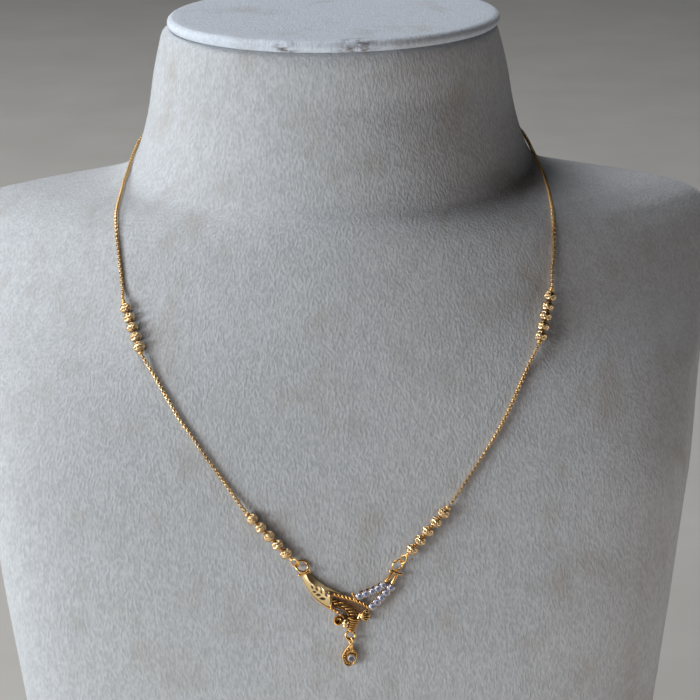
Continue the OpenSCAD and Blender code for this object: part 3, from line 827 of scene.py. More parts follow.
@dataclass
class BallGroup:
    """Five balls on a wire."""

    form: BustForm
    finishes: Finishes
    group: Group
    side: int
    balls: int = 5
    piece_gap: float = 0.05
    wire: float = 0.6
    bore: float = 0.9
    cuts_around: int = 14
    cut_rows: int = 10
    scoop: float = 0.966
    tip_length: float = 1.2
    tip_ring_gap: float = 0.3
    tip_ring_wire: float = 0.12
    collar: float = 1.1
    crimp: float = 1.6
    crimp_length: float = 0.8
    spacer: float = 1.5
    coil: float = 0.36
    coil_wire: float = 0.17
    coil_turns: float = 2.6
    eye: float = 2.3
    eye_wire: float = 0.5
    eye_neck: float = 0.7

    PLACES = {
        Group.UPPER: (((-55.42, 210.19), (-51.67, 201.25)), ((57.82, 211.1), (54.98, 202.11))),
        Group.LOWER: (((-22.34, 160.93), (-13.77, 152.18)), ((28.16, 161.59), (19.85, 152.66))),
    }
    DIAMETERS = {Group.UPPER: 2.8, Group.LOWER: 2.7}
    PITCHES = {Group.UPPER: 2.9, Group.LOWER: 3.2}
    FULLNESS = {Group.UPPER: (1.2, 1.05, 1.0), Group.LOWER: (1.2, 1.05, 1.035)}
    SKIN_GAPS = {Group.UPPER: 0.2, Group.LOWER: 0.1}
    EYE_LEANS = (34, 52)
    # Share of the radius, and rise in roundings, of a collar's edge
    DRUM_EDGE = ((0.35, 0.0), (0.6, 0.1), (0.82, 0.45), (0.95, 1.0), (1.0, 1.7))

    @property
    def ball(self) -> float:
        """Diameter of a ball."""
        return self.DIAMETERS[self.group]

    @property
    def pitch(self) -> float:
        """Distance between two balls."""
        return self.PITCHES[self.group]

    @property
    def place(self) -> Place:
        """The wire's own place: z along it from the first ball, y out of the skin."""
        ends = self.PLACES[self.group][self.side]
        a, b = (self.form.lifted(e, self.ball / 2 + self.SKIN_GAPS[self.group]) for e in ends)
        along = unit(b - a)
        mid = (np.array(ends[0]) + np.array(ends[1])) / 2
        out = square_to(along, self.form.outward(self.form.skin(*mid)))
        return Place(a, np.array([np.cross(out, along), out, along]))

    @property
    def first_end(self) -> float:
        """Where the wire starts, before the first ball."""
        head = self.tip_length if self.group is Group.UPPER else self.crimp_length
        return -(self.ball / 2 + self.piece_gap + head)

    @property
    def after(self) -> float:
        """Where the wire's fitting after the last ball starts."""
        return (self.balls - 1) * self.pitch + self.ball / 2 + self.piece_gap

    @property
    def last_end(self) -> float:
        """Where the upper wire ends, after its crimp."""
        return self.after + self.crimp_length

    def bead(self, i: int) -> None:
        """Builds ball number i: a bored bead cut with staggered rows of flats, each a shallow scoop."""
        n, r = self.cuts_around, self.ball / 2
        start = math.asin(self.bore / 2 / r) + 0.1
        levels = np.linspace(start, math.pi - start, self.cut_rows)
        cut = np.vstack([circle(r * np.sin(b), -r * np.cos(b), n, k % 2 / 2) for k, b in enumerate(levels)])
        flats: list[tuple[int, ...]] = []
        for k in range(self.cut_rows - 1):
            for j in range(n):
                a, b, c, d = (row * n + (j + step) % n for row in (k, k + 1) for step in (0, 1))
                flats += [(a, b, d), (a, d, c)] if k % 2 else [(a, b, c), (b, d, c)]
        scoops = cut[np.array(flats)].mean(1) * self.scoop
        faces = []
        for m, (a, b, c) in enumerate(flats, len(cut)):
            faces += [(a, b, m), (b, c, m), (c, a, m)]
        bore = len(cut) + len(scoops)
        for a, b in ((len(cut) - n, bore), (bore, bore + n), (bore + n, 0)):
            faces += [(a + j, a + (j + 1) % n, b + (j + 1) % n, b + j) for j in range(n)]
        bore_rings = [circle(self.bore / 2, way * cut[-1, 2], n) for way in (1, -1)]
        ball = np.vstack([cut, scoops, *bore_rings]) @ turn_about(z=i * 37 + self.side * 19).T
        solid = Solid(self.place.child((0, 0, i * self.pitch)))
        solid.add(ball * vec(*self.FULLNESS[self.group]), faces)
        name = f"bead_{self.group.value}_{SIDES[self.side]}_{i + 1}"
        self.finishes.dress(solid, f"cut_{name}", "gold_bead", name, Metal.DIAMOND_CUT, sharp=12)

    def drum(self, solid: Solid, start: float, end: float, diameter: float) -> None:
        """Adds a round collar with softened edges to the wire."""
        soft = min(0.12, (end - start) / 3)
        profile = [(diameter / 2 * share, start + rise * soft) for share, rise in self.DRUM_EDGE]
        profile += [(r, start + end - z) for r, z in reversed(profile)]
        solid.lathe(profile, 24)

    def upper_rod(self, solid: Solid) -> float:
        """Adds the ribbed tip and the crimp of an upper wire, and gives back where its core ends."""
        self.drum(solid, self.first_end, self.first_end + self.tip_length, self.collar)
        mid = self.first_end + self.tip_length / 2
        for z in (mid - self.tip_ring_gap, mid, mid + self.tip_ring_gap):
            solid.hoop((0, 0, z), vec(1, 0, 0), vec(0, 1, 0), self.collar / 2 - 0.02, self.tip_ring_wire, 24, 8)
        self.drum(solid, self.after, self.last_end, self.crimp)
        return self.last_end - self.wire / 2

    def lower_rod(self, solid: Solid) -> float:
        """Adds the crimp, spacers, coil and eye of a lower wire, and gives back where its core ends."""
        eye_at = self.after - self.piece_gap + self.eye_neck + (self.eye + self.eye_wire) / 2
        neck_end = eye_at - self.eye / 2
        self.drum(solid, self.first_end, self.first_end + self.crimp_length, self.crimp)
        half = (self.pitch - self.ball - 2 * self.piece_gap) / 2
        for i in range(self.balls - 1):
            z = (i + 0.5) * self.pitch
            self.drum(solid, z - half, z + half, self.spacer)
        turns = np.linspace(0, 1, 40)
        a = turns * 2 * np.pi * self.coil_turns
        rise = self.after + 0.12 + turns * (neck_end - self.after - 0.1)
        solid.tube(np.stack([self.coil * np.cos(a), self.coil * np.sin(a), rise], 1), self.coil_wire, 8)
        lean = math.radians(self.EYE_LEANS[self.side])
        across = vec(math.cos(lean), math.sin(lean), 0)
        solid.hoop((0, 0, eye_at), across, vec(*UP), self.eye / 2, self.eye_wire / 2)
        return neck_end

    def rod(self) -> None:
        """Builds the wire with all that is fixed to it."""
        solid = Solid(self.place)
        end = self.upper_rod(solid) if self.group is Group.UPPER else self.lower_rod(solid)
        r = self.wire / 2
        solid.tube([(0, 0, self.first_end + r), (0, 0, end)], r, 16, up=(0, 1, 0))
        name = f"bead_wire_{self.group.value}_{SIDES[self.side]}"
        self.finishes.dress(solid, f"{name}_threaded", "gold_bead", name, Metal.THREADED, sharp=ROUND_WIRE)

    def build(self) -> None:
        """Builds the wire and its balls."""
        self.rod()
        for i in range(self.balls):
            self.bead(i)


@dataclass
class BoxChain:
    """A stretch of box chain: square links of flat wire, each a quarter turn from the last, that roll a little."""

    finishes: Finishes
    name: str
    path: Array
    twist_start: float
    link: float = 0.98
    link_squash: float = 0.95
    corner: float = 0.15
    pitch: float = 0.65
    band: float = 0.17
    band_width: float = 0.52
    band_soft: float = 0.05
    twist: float = 24.0
    twist_every: float = 60.0
    twist_draw: float = 2.0
    look: float = 0.4
    axis_y: float = 18.0

    def link_rings(self) -> list[Array]:
        """Sections of one link at the origin: across in x, its width in y, along the chain in z."""
        half, corner = (self.link - self.band) / 2, self.corner
        x_reach, z_reach = half * self.link_squash - corner, half - corner
        path = []
        for k, (x, z) in enumerate(((1, 1), (-1, 1), (-1, -1), (1, -1))):
            for b in (math.radians(90 * k + a) for a in (0, 45, 90)):
                path.append((x * x_reach + corner * math.cos(b), 0, z * z_reach + corner * math.sin(b)))
        line = np.array(path)
        out = np.cross(vec(0, 1, 0), unit(np.roll(line, -1, 0) - np.roll(line, 1, 0)))
        out *= np.sign((out * line).sum(1))[:, None]
        t, w, soft = self.band / 2, self.band_width / 2, self.band_soft
        quarter = np.array([(t, w - soft), (t - soft, w)])
        section = np.vstack([quarter, quarter[::-1] * (-1, 1), -quarter, quarter[::-1] * (1, -1)])
        return [p + np.outer(section[:, 0], o) + np.outer(section[:, 1], (0, 1, 0)) for p, o in zip(line, out)]

    def at(self, run: Array, s: float) -> Array:
        """The path's point at the distance s along it."""
        return np.array([np.interp(s, run, self.path[:, k]) for k in range(3)])

    def build(self) -> None:
        """Lays the links along the path."""
        run = run_of(self.path)
        count = int((run[-1] - self.link) / self.pitch) + 1
        pitch = (run[-1] - self.link) / (count - 1)
        rings = self.link_rings()
        solid = Solid()
        draws = random.Random(self.name)
        for i in range(count):
            s = self.link / 2 + i * pitch
            middle, along = self.at(run, s), unit(self.at(run, s + self.look) - self.at(run, s - self.look))
            out = square_to(along, unit(vec(middle[0], middle[1] - self.axis_y, 0)))
            twist = self.twist * math.sin(2 * math.pi * s / self.twist_every)
            twist += self.twist_start + draws.uniform(-self.twist_draw, self.twist_draw)
            a = math.radians(twist + (90 if i % 2 else 0))
            x = math.cos(a) * np.cross(out, along) + math.sin(a) * out
            link = Place(middle, np.array([x, np.cross(along, x), along]))
            solid.loft([link.put(ring) for ring in rings], closed=True)
        LOG.info("%s: %d links over %.1f mm", self.name, count, run[-1])
        self.finishes.dress(solid, f"{self.name}_links", "gold_chain", self.name, Metal.DRAWN, sharp=50)


@dataclass
class Clasp:
    """The barrel clasp behind the neck."""

    form: BustForm
    finishes: Finishes
    length: float = 10.0
    diameter: float = 3.0
    end_diameter: float = 1.6
    end_length: float = 1.2
    flutes: int = 24
    flute_wire: float = 0.09
    place: Point = (180.0, 247.0)
    skin_gap: float = 0.1
    end_gap: float = 0.25

    @property
    def middle(self) -> Array:
        """The middle of the barrel."""
        return self.form.beside(self.place, self.diameter / 2 + self.skin_gap)

    def end(self, side: int) -> Array:
        """Where the chain of a side starts."""
        return self.middle + vec((-1 if side == 0 else 1) * (self.length / 2 + self.end_gap), 0, 0)

    def build(self) -> None:
        """Builds the barrel: two screwed halves with a groove between them and a fluted grip."""
        solid = Solid(Place(self.middle, turn_about(y=90).T))
        half, r, e = self.length / 2, self.diameter / 2, self.end_diameter / 2
        grip = half - 2 * self.end_length
        profile = [(0.35, half), (e - 0.1, half), (e, half - 0.1), (e, half - 0.5), (e - 0.12, half - 0.65)]
        profile += [(e - 0.05, half - self.end_length), (r - 0.45, grip + 0.45), (r - 0.1, grip)]
        profile += [(r, grip - 0.3), (r, 0.35), (r - 0.12, 0.2), (r - 0.12, 0.02)]
        for way in (-1, 1):
            solid.lathe([(a, way * z) for a, z in profile], 48)
        for x, y, _ in circle(r - 0.03, 0, self.flutes):
            solid.tube([(x, y, 0.7), (x, y, grip - 0.5)], self.flute_wire, 6, up=(x, y, 0.0))
        self.finishes.dress(solid, "clasp_barrel", "gold_chain", "clasp", Metal.CAST, sharp=35)


# The pendant


@dataclass
class Pendant:
    """The V-shaped pendant, in its own plane on the chest: u across, v up the chest, w out of it."""

    form: BustForm
    finishes: Finishes
    place_xz: Point = (3.1, 139.5)
    skin_gap: float = 0.1
    plane: float = 1.1

    @property
    def place(self) -> Place:
        """The pendant's place."""
        p = self.form.skin(*self.place_xz)
        n = self.form.outward(p)
        across = unit(vec(-n[1], n[0], 0))
        return Place(p + self.skin_gap * n, np.array([across, np.cross(n, across), n]))

    def solder(self, solid: Solid, name: str, *metals: Metal, sharp: float = ROUND_WIRE) -> None:
        """Makes a piece of the pendant's frame; its name comes after the pendant's."""
        self.finishes.dress(solid, f"pendant_{name}", "gold_pendant", "pendant_frame", *metals, sharp=sharp)


def flat_line(places: Sequence[Point], w: float, step: float = 0.35) -> Array:
    """Smooth line through places u, v at one height."""
    return smooth_line([(u, v, w) for u, v in places], step)


@dataclass
class LeftArm(Pendant):
    """The left arm: a folded satin sheet, pierced with a spray of leaves.

    A row is a cut across the sheet: its outer edge, its ridge, its inner edge and the height of the ridge. A leaf is
    a middle, a length, a width and a turn. A row of the wedge is its lower and its upper edge and its height.
    """

    rows: tuple = (
        ((-12.5, 7.3), (-11.6, 7.6), (-10.6, 8), 1.5),
        ((-12.3, 6.1), (-11.1, 6.5), (-9.9, 6.9), 1.7),
        ((-11.8, 4.8), (-10.4, 5.5), (-8.9, 5.9), 1.9),
        ((-10.9, 3.2), (-9.4, 4.7), (-7.7, 4.9), 2.1),
        ((-9.7, 1.5), (-8.3, 4.1), (-6.5, 4), 2.2),
        ((-8.2, 0), (-7, 3.4), (-5.9, 3.7), 2.2),
        ((-6.7, -1.2), (-6, 2.4), (-5.4, 3.5), 2.2),
        ((-5.3, -1.9), (-5.2, 1.3), (-5, 3.3), 2.2),
    )
    leaves: tuple = (
        ((-9.35, 2.75), 1.2, 0.62, -4), ((-8.35, 1.9), 1.5, 0.75, -4), ((-7.25, 0.85), 1.8, 0.85, -3),
        ((-9.9, 4.05), 1.25, 0.62, -58), ((-8.8, 3.75), 1.6, 0.64, -66), ((-7.65, 3.05), 1.8, 0.68, -66),
        ((-6.35, 2.2), 1.9, 0.72, -68),
    )
    ribs: tuple = (
        ((-9.75, 4.85), (-9.2, 4.4), (-8.95, 3.75)), ((-8.7, 4.6), (-8, 4.1), (-7.8, 3.3), (-7.95, 2.8)),
        ((-7.5, 4), (-6.85, 3.4), (-6.6, 2.6), (-6.75, 2)), ((-6.2, 3.2), (-5.6, 2.6), (-5.4, 1.8), (-5.55, 1.1)),
    )
    wedge_rows: tuple = (
        (-5.35, 0.9, -5.15, 3.45, 1.55), (-4.7, 1.3, -4.6, 3.05, 1.4), (-3.8, 1.7, -3.7, 2.6, 1.15),
        (-2.9, 1.85, -2.8, 2.25, 0.95), (-2.1, 1.85, -2.0, 2.05, 0.8),
    )
    edge_height: float = 0.6
    sheet: float = 0.5
    floor: float = 0.1
    outer_bulge: float = 0.42
    inner_bulge: float = 0.12
    vein_lift: float = 0.02
    vein_radii: Point = (0.07, 0.19)
    rim_radii: Point = (0.13, 0.2, 0.36)

    def slope(
        self, edge: Array, ridge: Array, height: float, shares: Array, bulge: float, least: float
    ) -> list[Array]:
        """The sheet between an edge and the ridge.

        Args:
            edge: Place of the edge.
            ridge: Place of the ridge.
            height: Height of the ridge.
            shares: Shares of the way from the edge to the ridge.
            bulge: How far the sheet is domed.
            least: Share at which the underside starts.

        Returns:
            Points of the face, and points of the underside.
        """
        w = self.edge_height + (height - self.edge_height) * (shares + bulge * shares * (1 - shares))
        under = np.where(shares > 0.05, np.maximum(self.floor, w - self.sheet), self.floor)
        places = ((shares, w), (np.maximum(shares, least), under))
        return [np.column_stack([edge + np.outer(way, ridge - edge), level]) for way, level in places]

    def sections(self) -> list[Array]:
        """Closed outlines across the arm, from its collar to its cut end."""
        shares = np.linspace(0, 1, 11)
        rings = []
        for row in smooth_line([(*a, *b, *c, height) for a, b, c, height in self.rows], 0.55):
            outer, ridge, inner, height = row[0:2], row[2:4], row[4:6], row[6]
            face, under = self.slope(outer, ridge, height, shares, self.outer_bulge, 0.07)
            more, less = self.slope(inner, ridge, height, shares[-2::-1], self.inner_bulge, 0.1)
            rings.append(np.vstack([[*outer, self.floor], face, more, [*inner, self.floor], less[::-1], under[::-1]]))
        return rings

    def leaf(self, cutter: Solid, middle: Point, length: float, width: float, turned: float) -> None:
        """Adds one leaf-shaped cutter, two arcs that meet in points."""
        upper = [(length * (s - 0.5), width / 2 * math.sin(math.pi * s) ** 0.85) for s in np.linspace(0, 1, 13)[:-1]]
        x, y = np.array(upper + [(-x, -y) for x, y in upper]).T
        c, s = math.cos(math.radians(turned)), math.sin(math.radians(turned))
        flat = np.stack([middle[0] + x * c - y * s, middle[1] + x * s + y * c], 1)
        cutter.loft([np.column_stack([flat, np.full(len(flat), w)]) for w in (-1.0, 4.0)], flat=True)

    def pierced(self) -> None:
        """Builds the sheet and cuts the leaves out of it, in millimetres so that the cut is exact."""
        solid, cutter = Solid(), Solid()
        solid.loft(self.sections(), flat=True)
        for leaf in self.leaves:
            self.leaf(cutter, *leaf)
        arm = solid.build("pendant_arm", [self.finishes.get(Metal.SATIN)], 0)
        tool = cutter.build("leaf_cutter", [], 0)
        for piece in (arm, tool):
            piece.data.transform(Matrix.Scale(1 / MM, 4))
        cut = arm.modifiers.new("leaves", "BOOLEAN")
        cut.object, cut.operation, cut.solver = tool, "DIFFERENCE", "EXACT"
        bpy.context.view_layer.update()
        mesh = bpy.data.meshes.new_from_object(arm.evaluated_get(bpy.context.evaluated_depsgraph_get()))
        arm.modifiers.clear()
        arm.data = mesh
        bpy.data.objects.remove(tool)
        spots = np.zeros(len(mesh.vertices) * 3, np.float32)
        mesh.vertices.foreach_get("co", spots)
        mesh.vertices.foreach_set("co", (self.place.put(spots.reshape(-1, 3)) * MM).astype(np.float32).ravel())
        mesh.update()
        mesh.shade_smooth()
        mesh.set_sharp_from_angle(angle=math.radians(26))
        hand_in(arm, "pendant_frame")

    def wedge(self) -> None:
        """Builds the wedge that leads on to the stones."""
        solid = Solid(self.place)
        rings = []
        for low_u, low_v, high_u, high_v, height in smooth_line(self.wedge_rows, 0.3):
            profile = [(0.04, self.floor), (0.96, self.floor), (1, 0.3), (1, 0.55), (0.94, 0.7)]
            profile += [(s, height - 0.75 * height * (s - 0.3) ** 2) for s in (0.8, 0.6, 0.4, 0.22, 0.1)]
            profile += [(s, share * height) for s, share in ((0.03, 0.85), (0, 0.68), (0, 0.3))]
            run_u, run_v = high_u - low_u, high_v - low_v
            rings.append(np.array([(low_u + run_u * s, low_v + run_v * s, w) for s, w in profile]))
        solid.loft(rings)
        self.solder(solid, "arm_wedge", Metal.SATIN, sharp=32)

    def veins(self) -> None:
        """Builds the raised ribs between the leaves."""
        solid, points = Solid(self.place), np.vstack(self.sections())

        def height(u: float, v: float) -> float:
            """Height of the sheet's face over a place."""
            near = np.linalg.norm(points[:, :2] - vec(u, v), axis=1)
            return float(points[near < np.sort(near)[6], 2].max())

        thin, thick = self.vein_radii
        for rib in self.ribs:
            line = smooth_line([(u, v, height(u, v) + self.vein_lift) for u, v in rib], 0.2)
            swell = np.sin(np.pi * np.linspace(0, 1, len(line))) ** 0.6
            solid.tube(line, thin + (thick - thin) * swell, 8)
        self.solder(solid, "arm_veins", Metal.SATIN)

    def rim(self) -> None:
        """Builds the turned rim of the outer edge, which grows towards the cut end."""
        solid = Solid(self.place)
        edge = flat_line([row[0] for row in self.rows], self.edge_height - 0.12, 0.25)
        solid.tube(edge, np.interp(np.linspace(0, 1, len(edge)), [0, 0.45, 1], self.rim_radii), 12)
        self.solder(solid, "arm_rim", Metal.CAST)

    def build(self) -> None:
        """Builds the arm."""
        for make in (self.pierced, self.wedge, self.veins, self.rim):
            make()


@dataclass
class Openwork(Pendant):
    """The pierced middle: rope border, dotted border, bent ladder, shell, cup, lobes and ribbed stem."""

    rope_runs: tuple = (((-4.2, 1.8), (1.2, 0.2)), ((1.4, 0.1), (3.4, -0.75), (4.9, -1.9)))
    rope_lay: float = 2.1
    rope_spread: float = 0.27
    strand: float = 0.29
    rope_bar: tuple = ((0.75, 1.95, 1.2), (1.35, 0.85, 1.3), (1.95, -0.15, 1.1))
    rope_bar_wire: float = 0.33
    left_border: tuple = ((-4.9, 1.1), (-5, -1.9), (-3.2, -2.9), (-2.3, -3.8), (-1.2, -4.6))
    right_border: tuple = ((4.9, -1.8), (4.7, -2.6), (3.9, -3.3))
    border_wires: Point = (0.3, 0.32)
    rails: tuple = (
        ((-4.9, 0.4), (-3.6, -0.1), (-1.8, -0.7), (-0.3, -1.5), (0.9, -2.3), (1.7, -3.4), (2, -4.6)),
        ((-4.9, -1.1), (-3.6, -1.4), (-2, -2.1), (-0.8, -3.2), (-0.2, -4.8)),
    )
    rungs: tuple = (
        (-4.25, 0.14), (-3.34, -0.55), (-2.14, -0.31), (-1.36, -1.35), (-0.45, -2.02), (0.45, -2.8), (0.85, -3.6),
        (0.95, -4.4),
    )
    rail_wire: float = 0.23
    rung_wire: float = 0.2
    rung_half: Point = (0.75, 0.08)
    net: tuple = (
        (-4.9, 1), (-4, 1.6), (-1.5, 0.95), (1.2, 0.1), (3.3, -0.85), (4.6, -1.9), (3.9, -3.1), (2.2, -4.1),
        (1.9, -4.7), (-0.4, -4.9), (-1.2, -4.4), (-2.3, -3.7), (-3.2, -2.8), (-4.9, -1.8),
    )
    net_ways: tuple = ((-22.0, 0.4), (62.0, 0.52))
    net_reach: int = 16
    net_pitch: float = 0.6
    net_wire: float = 0.2
    dots: tuple = ((-4.95, -1.8), (-4.1, -2.35), (-3.25, -2.8), (-2.55, -3.6))
    dot: float = 0.48
    stem_ends: tuple = ((0.9, -4.6), (0.1, -8.2))
    stem_widths: Point = (3.4, 1.8)
    stem_ribs: int = 6
    stem_groove: float = 0.26
    stem_squash: float = 0.55
    cup_at: Point = (-3.2, -5.1, 0)
    cup_profile: tuple = (
        (0.6, 0.2), (1.15, 0.25), (1.3, 0.45), (1.3, 1.85), (1.2, 2.05), (1.0, 2.1), (0.88, 1.95), (0.85, 0.7),
        (0.5, 0.55),
    )
    cup_bars: tuple = (
        (((-2.3, -4.7, 1.0), (-1.2, -4.6, 1.1)), 0.26), (((-2.0, -4.0, 1.45), (-1.9, -5.15, 1.45)), 0.29),
    )
    curl_at: Point = (-3.0, -5.0)
    curl_wire: float = 0.16
    lobes: tuple = (((-1.3, -5.6, 1.95), (0.95, 0.85, 0.75), 25), ((-1.4, -6.5, 1.7), (0.75, 0.85, 0.65), 0))
    shell_back: tuple = ((3.7, -4.1, 0.75), (1.5, 1.25, 0.75))
    shell_fans: tuple = (-38, -19, 0, 19, 38)
    shell_turn: float = 8.0
    shell_hinge: tuple = ((2.05, -4.65, 1.4), (2.7, -3.25, 1.5))
    shell_hinge_wire: float = 0.3

    def rope(self) -> None:
        """Builds the rope border: two strands laid round each other."""
        solid = Solid(self.place)
        for run in self.rope_runs:
            middle = flat_line(run, self.plane, 0.09)
            side = np.cross(UP, unit(np.gradient(middle, axis=0)))
            for phase in (0.0, math.pi):
                a = (run_of(middle) / self.rope_lay * 2 * math.pi + phase)[:, None]
                solid.tube(middle + self.rope_spread * (np.cos(a) * side + np.sin(a) * vec(*UP)), self.strand, 8)
        solid.tube(self.rope_bar, self.rope_bar_wire)
        self.solder(solid, "rope", Metal.PICKLED, sharp=45)

    def ladder(self) -> None:
        """Builds the borders, the bent ladder and the dots on the left border."""
        solid = Solid(self.place)
        left, right = self.border_wires
        solid.tube(flat_line(self.left_border, self.plane - 0.1), left)
        solid.tube(flat_line(self.right_border, self.plane - 0.1, 0.3), right)
        for rail in self.rails:
            solid.tube(flat_line(rail, 0.55), self.rail_wire, 8)
        du, dv = self.rung_half
        for u, v in self.rungs:
            solid.tube([(u - du, v - dv, 0.9), (u, v, 1.25), (u + du, v + dv, 0.95)], self.rung_wire, 8)
        for u, v in self.dots:
            solid.ball((u, v, self.plane + 0.35), self.dot, sides=14)
        self.solder(solid, "openwork", Metal.PICKLED, sharp=45)

    def lattice(self) -> None:
        """Builds the fine net behind the borders: bars both ways, each as long as the net is there."""
        solid = Solid(self.place)
        corners = np.array(self.net, float)
        spans = np.roll(corners, -1, 0) - corners
        for fan, w in self.net_ways:
            a = math.radians(fan)
            along, across = vec(math.cos(a), math.sin(a)), vec(-math.sin(a), math.cos(a))
            for k in range(-self.net_reach, self.net_reach + 1):
                start = across * k * self.net_pitch
                run = []
                for corner, span in zip(corners - start, spans):
                    low, high = across @ corner, across @ (corner + span)
                    if low * high < 0:
                        run.append(along @ (corner + span * low / (low - high)))
                run.sort()
                for s, e in zip(run[::2], run[1::2]):
                    if e - s > self.net_wire:
                        solid.tube([(*(start + along * v), w) for v in (s, e)], self.net_wire / 2, 6)
        # Painted shade: the net is a darker, duller gold, standing in for the shade in the openwork.
        self.solder(solid, "net", Metal.UNPOLISHED, sharp=50)

    def stem(self) -> None:
        """Builds the tapered stem with ribs across it."""
        top, end = (vec(*p, self.plane) for p in self.stem_ends)
        run = end - top
        length, ribs, (wide, narrow) = float(np.linalg.norm(run)), self.stem_ribs, self.stem_widths
        turned = turn_about(z=math.degrees(math.atan2(run[1], run[0])) + 90) @ turn_about(x=90)
        solid = Solid(self.place.child(top, turned @ np.diag([1, self.stem_squash, 1])))
        profile = []
        for i in range(ribs):
            r = (wide + (narrow - wide) * i / ribs) / 2
            for s in np.linspace(0, 1, 7)[:-1]:
                profile.append((r - self.stem_groove * (1 - math.sin(math.pi * s)), (i + s) * length / ribs))
        solid.lathe([*profile, (0.5, length)], 28)
        self.solder(solid, "stem", Metal.PICKLED, sharp=50)

    def cup(self) -> None:
        """Builds the small cup with its curl, the bar beside it and the lobes on the stem."""
        solid = Solid(self.place)
        solid.lathe(self.cup_profile, 36, self.cup_at)
        a, r, w = np.linspace((math.radians(200), 0.62, 1.3), (math.radians(-60), 0.42, 1.9), 16).T
        u, v = self.curl_at
        solid.tube(np.stack([u + r * np.cos(a), v + r * np.sin(a), w], 1), self.curl_wire, 8)
        for bar, wire in self.cup_bars:
            solid.tube(bar, wire)
        for middle, radii, turn in self.lobes:
            solid.ball(middle, radii, turn_about(z=turn), shade=1)
        self.solder(solid, "cup", Metal.CAST, Metal.SATIN)

    def shell(self) -> None:
        """Builds the scallop shell: ridges that fan out over a domed back, and a bar at its hinge."""
        solid = Solid(self.place)
        solid.ball(*self.shell_back, sides=28)
        shares = np.linspace(0, 1, 8)[:, None]
        for i, fan in enumerate(self.shell_fans):
            a = math.radians(fan + self.shell_turn)
            start, way = vec(2.75, -4.35 + 0.12 * i, self.plane + 0.15), vec(math.cos(a), math.sin(a), 0)
            rise = 0.42 * np.sin(math.pi * (0.15 + 0.8 * shares)) * vec(*UP)
            solid.tube(start + way * (2.35 - 0.012 * abs(fan)) * shares + rise, np.linspace(0.2, 0.31, 8), 10)
        solid.tube(self.shell_hinge, self.shell_hinge_wire)
        self.solder(solid, "shell", Metal.CAST)

    def build(self) -> None:
        """Builds the middle of the pendant."""
        for make in (self.rope, self.ladder, self.lattice, self.stem, self.cup, self.shell):
            make()


@dataclass
class RightArm(Pendant):
    """The right arm: a fork, and two rows of clear stones in white cups with prongs between them.

    The profiles of a cup count from the girdle of its stone outwards.
    """

    stone_rows: tuple = (
        ((2.6, 1.35), (4.3, 1.95), (5.95, 2.55), (7.5, 3.3), (9, 4.2)),
        ((10.9, 3.45), (9.65, 2.1), (8.4, 0.8), (7.2, -0.4), (6, -1.55)),
    )
    stone: float = 1.52
    stone_height: float = 0.85
    seat: float = 0.95
    rim: float = 1.5
    cup_profile: tuple = ((-0.25, 0.2), (0.12, 0.2), (0.2, 0.3), (0.2, 0.95), (-0.25, 0.93))
    rim_profile: tuple = (
        (-0.25, 0.9), (0.22, 0.9), (0.24, 1.0), (0.22, 1.5), (0.15, 1.55), (0.08, 1.48), (0.06, 0.95), (-0.25, 0.93),
    )
    rail_offset: float = 0.92
    rail_height: float = 0.85
    rail_wire: float = 0.17
    prong_offset: float = 0.62
    prong_foot: float = 0.5
    prong_wire: float = 0.14
    prong_tip: float = 0.17
    end_tip: float = 0.16
    end_tip_at: Point = (0.5625, 0.6)
    fork: tuple = (((11.3, 7.4), (9.7, 5.3)), ((12.5, 7), (11.3, 4.7)))
    fork_radii: Point = (0.46, 0.54)
    links: tuple = (
        ((1.9, 0.9), (2.6, 1.35)), ((5.2, -2), (6, -1.55)), ((9, 4.2), (9.7, 5.3)), ((10.9, 3.45), (11.3, 4.7)),
    )

    def between(self, solid: Solid, a: Array, b: Array) -> None:
        """Adds the rails along two stones and the prongs between them."""
        left = vec(a[1] - b[1], b[0] - a[0]) / np.linalg.norm(b - a)
        for way in (-1, 1):
            solid.tube([(*(p + way * self.rail_offset * left), self.rail_height) for p in (a, b)], self.rail_wire, 8)
            u, v = (a + b) / 2 + way * self.prong_offset * left
            solid.tube([(u, v, self.prong_foot), (u, v, self.rim - 0.05)], self.prong_wire, 10, up=(0, 1, 0))
            solid.ball((u, v, self.rim), self.prong_tip, sides=12)

    def cups(self) -> None:
        """Builds the cups and prongs, gold below and flashed white at the rim."""
        solid = Solid(self.place)
        r = self.stone / 2
        for row in np.array(self.stone_rows):
            for spot in row:
                at = (*spot, 0)
                solid.lathe([(r + out, w) for out, w in self.cup_profile], 28, at)
                solid.lathe([(r + out, w) for out, w in self.rim_profile], 28, at, closed=True, shade=1)
            for a, b in zip(row, row[1:]):
                self.between(solid, a, b)
            for end, inner in ((row[0], row[1]), (row[-1], row[-2])):
                run = unit(end - inner)
                for way in (-1, 1):
                    u, v = end + self.end_tip_at[0] * run + way * self.end_tip_at[1] * vec(-run[1], run[0])
                    solid.ball((u, v, self.rim + 0.02), self.end_tip, sides=12)
        self.solder(solid, "settings", Metal.CAST, Metal.WHITE, sharp=35)

    def arm(self) -> None:
        """Builds the fork and the short links that hold the rows."""
        solid = Solid(self.place)
        for tine in self.fork:
            solid.tube([(*p, self.plane) for p in tine], self.fork_radii, 14)
        for link in self.links:
            solid.tube([(*p, self.plane - 0.3) for p in link], 0.38, 12)
        self.solder(solid, "fork", Metal.CAST)

    def build(self) -> None:
        """Builds the arm and its stones."""
        self.arm()
        self.cups()
        for name, row in zip(("upper", "lower"), self.stone_rows):
            for i, spot in enumerate(row):
                place = self.place.child((*spot, self.seat), turn_about(z=17 * i))
                stone = BrilliantStone(place, self.finishes, self.stone, self.stone_height)
                stone.build(f"stone_{name}_{i + 1}")


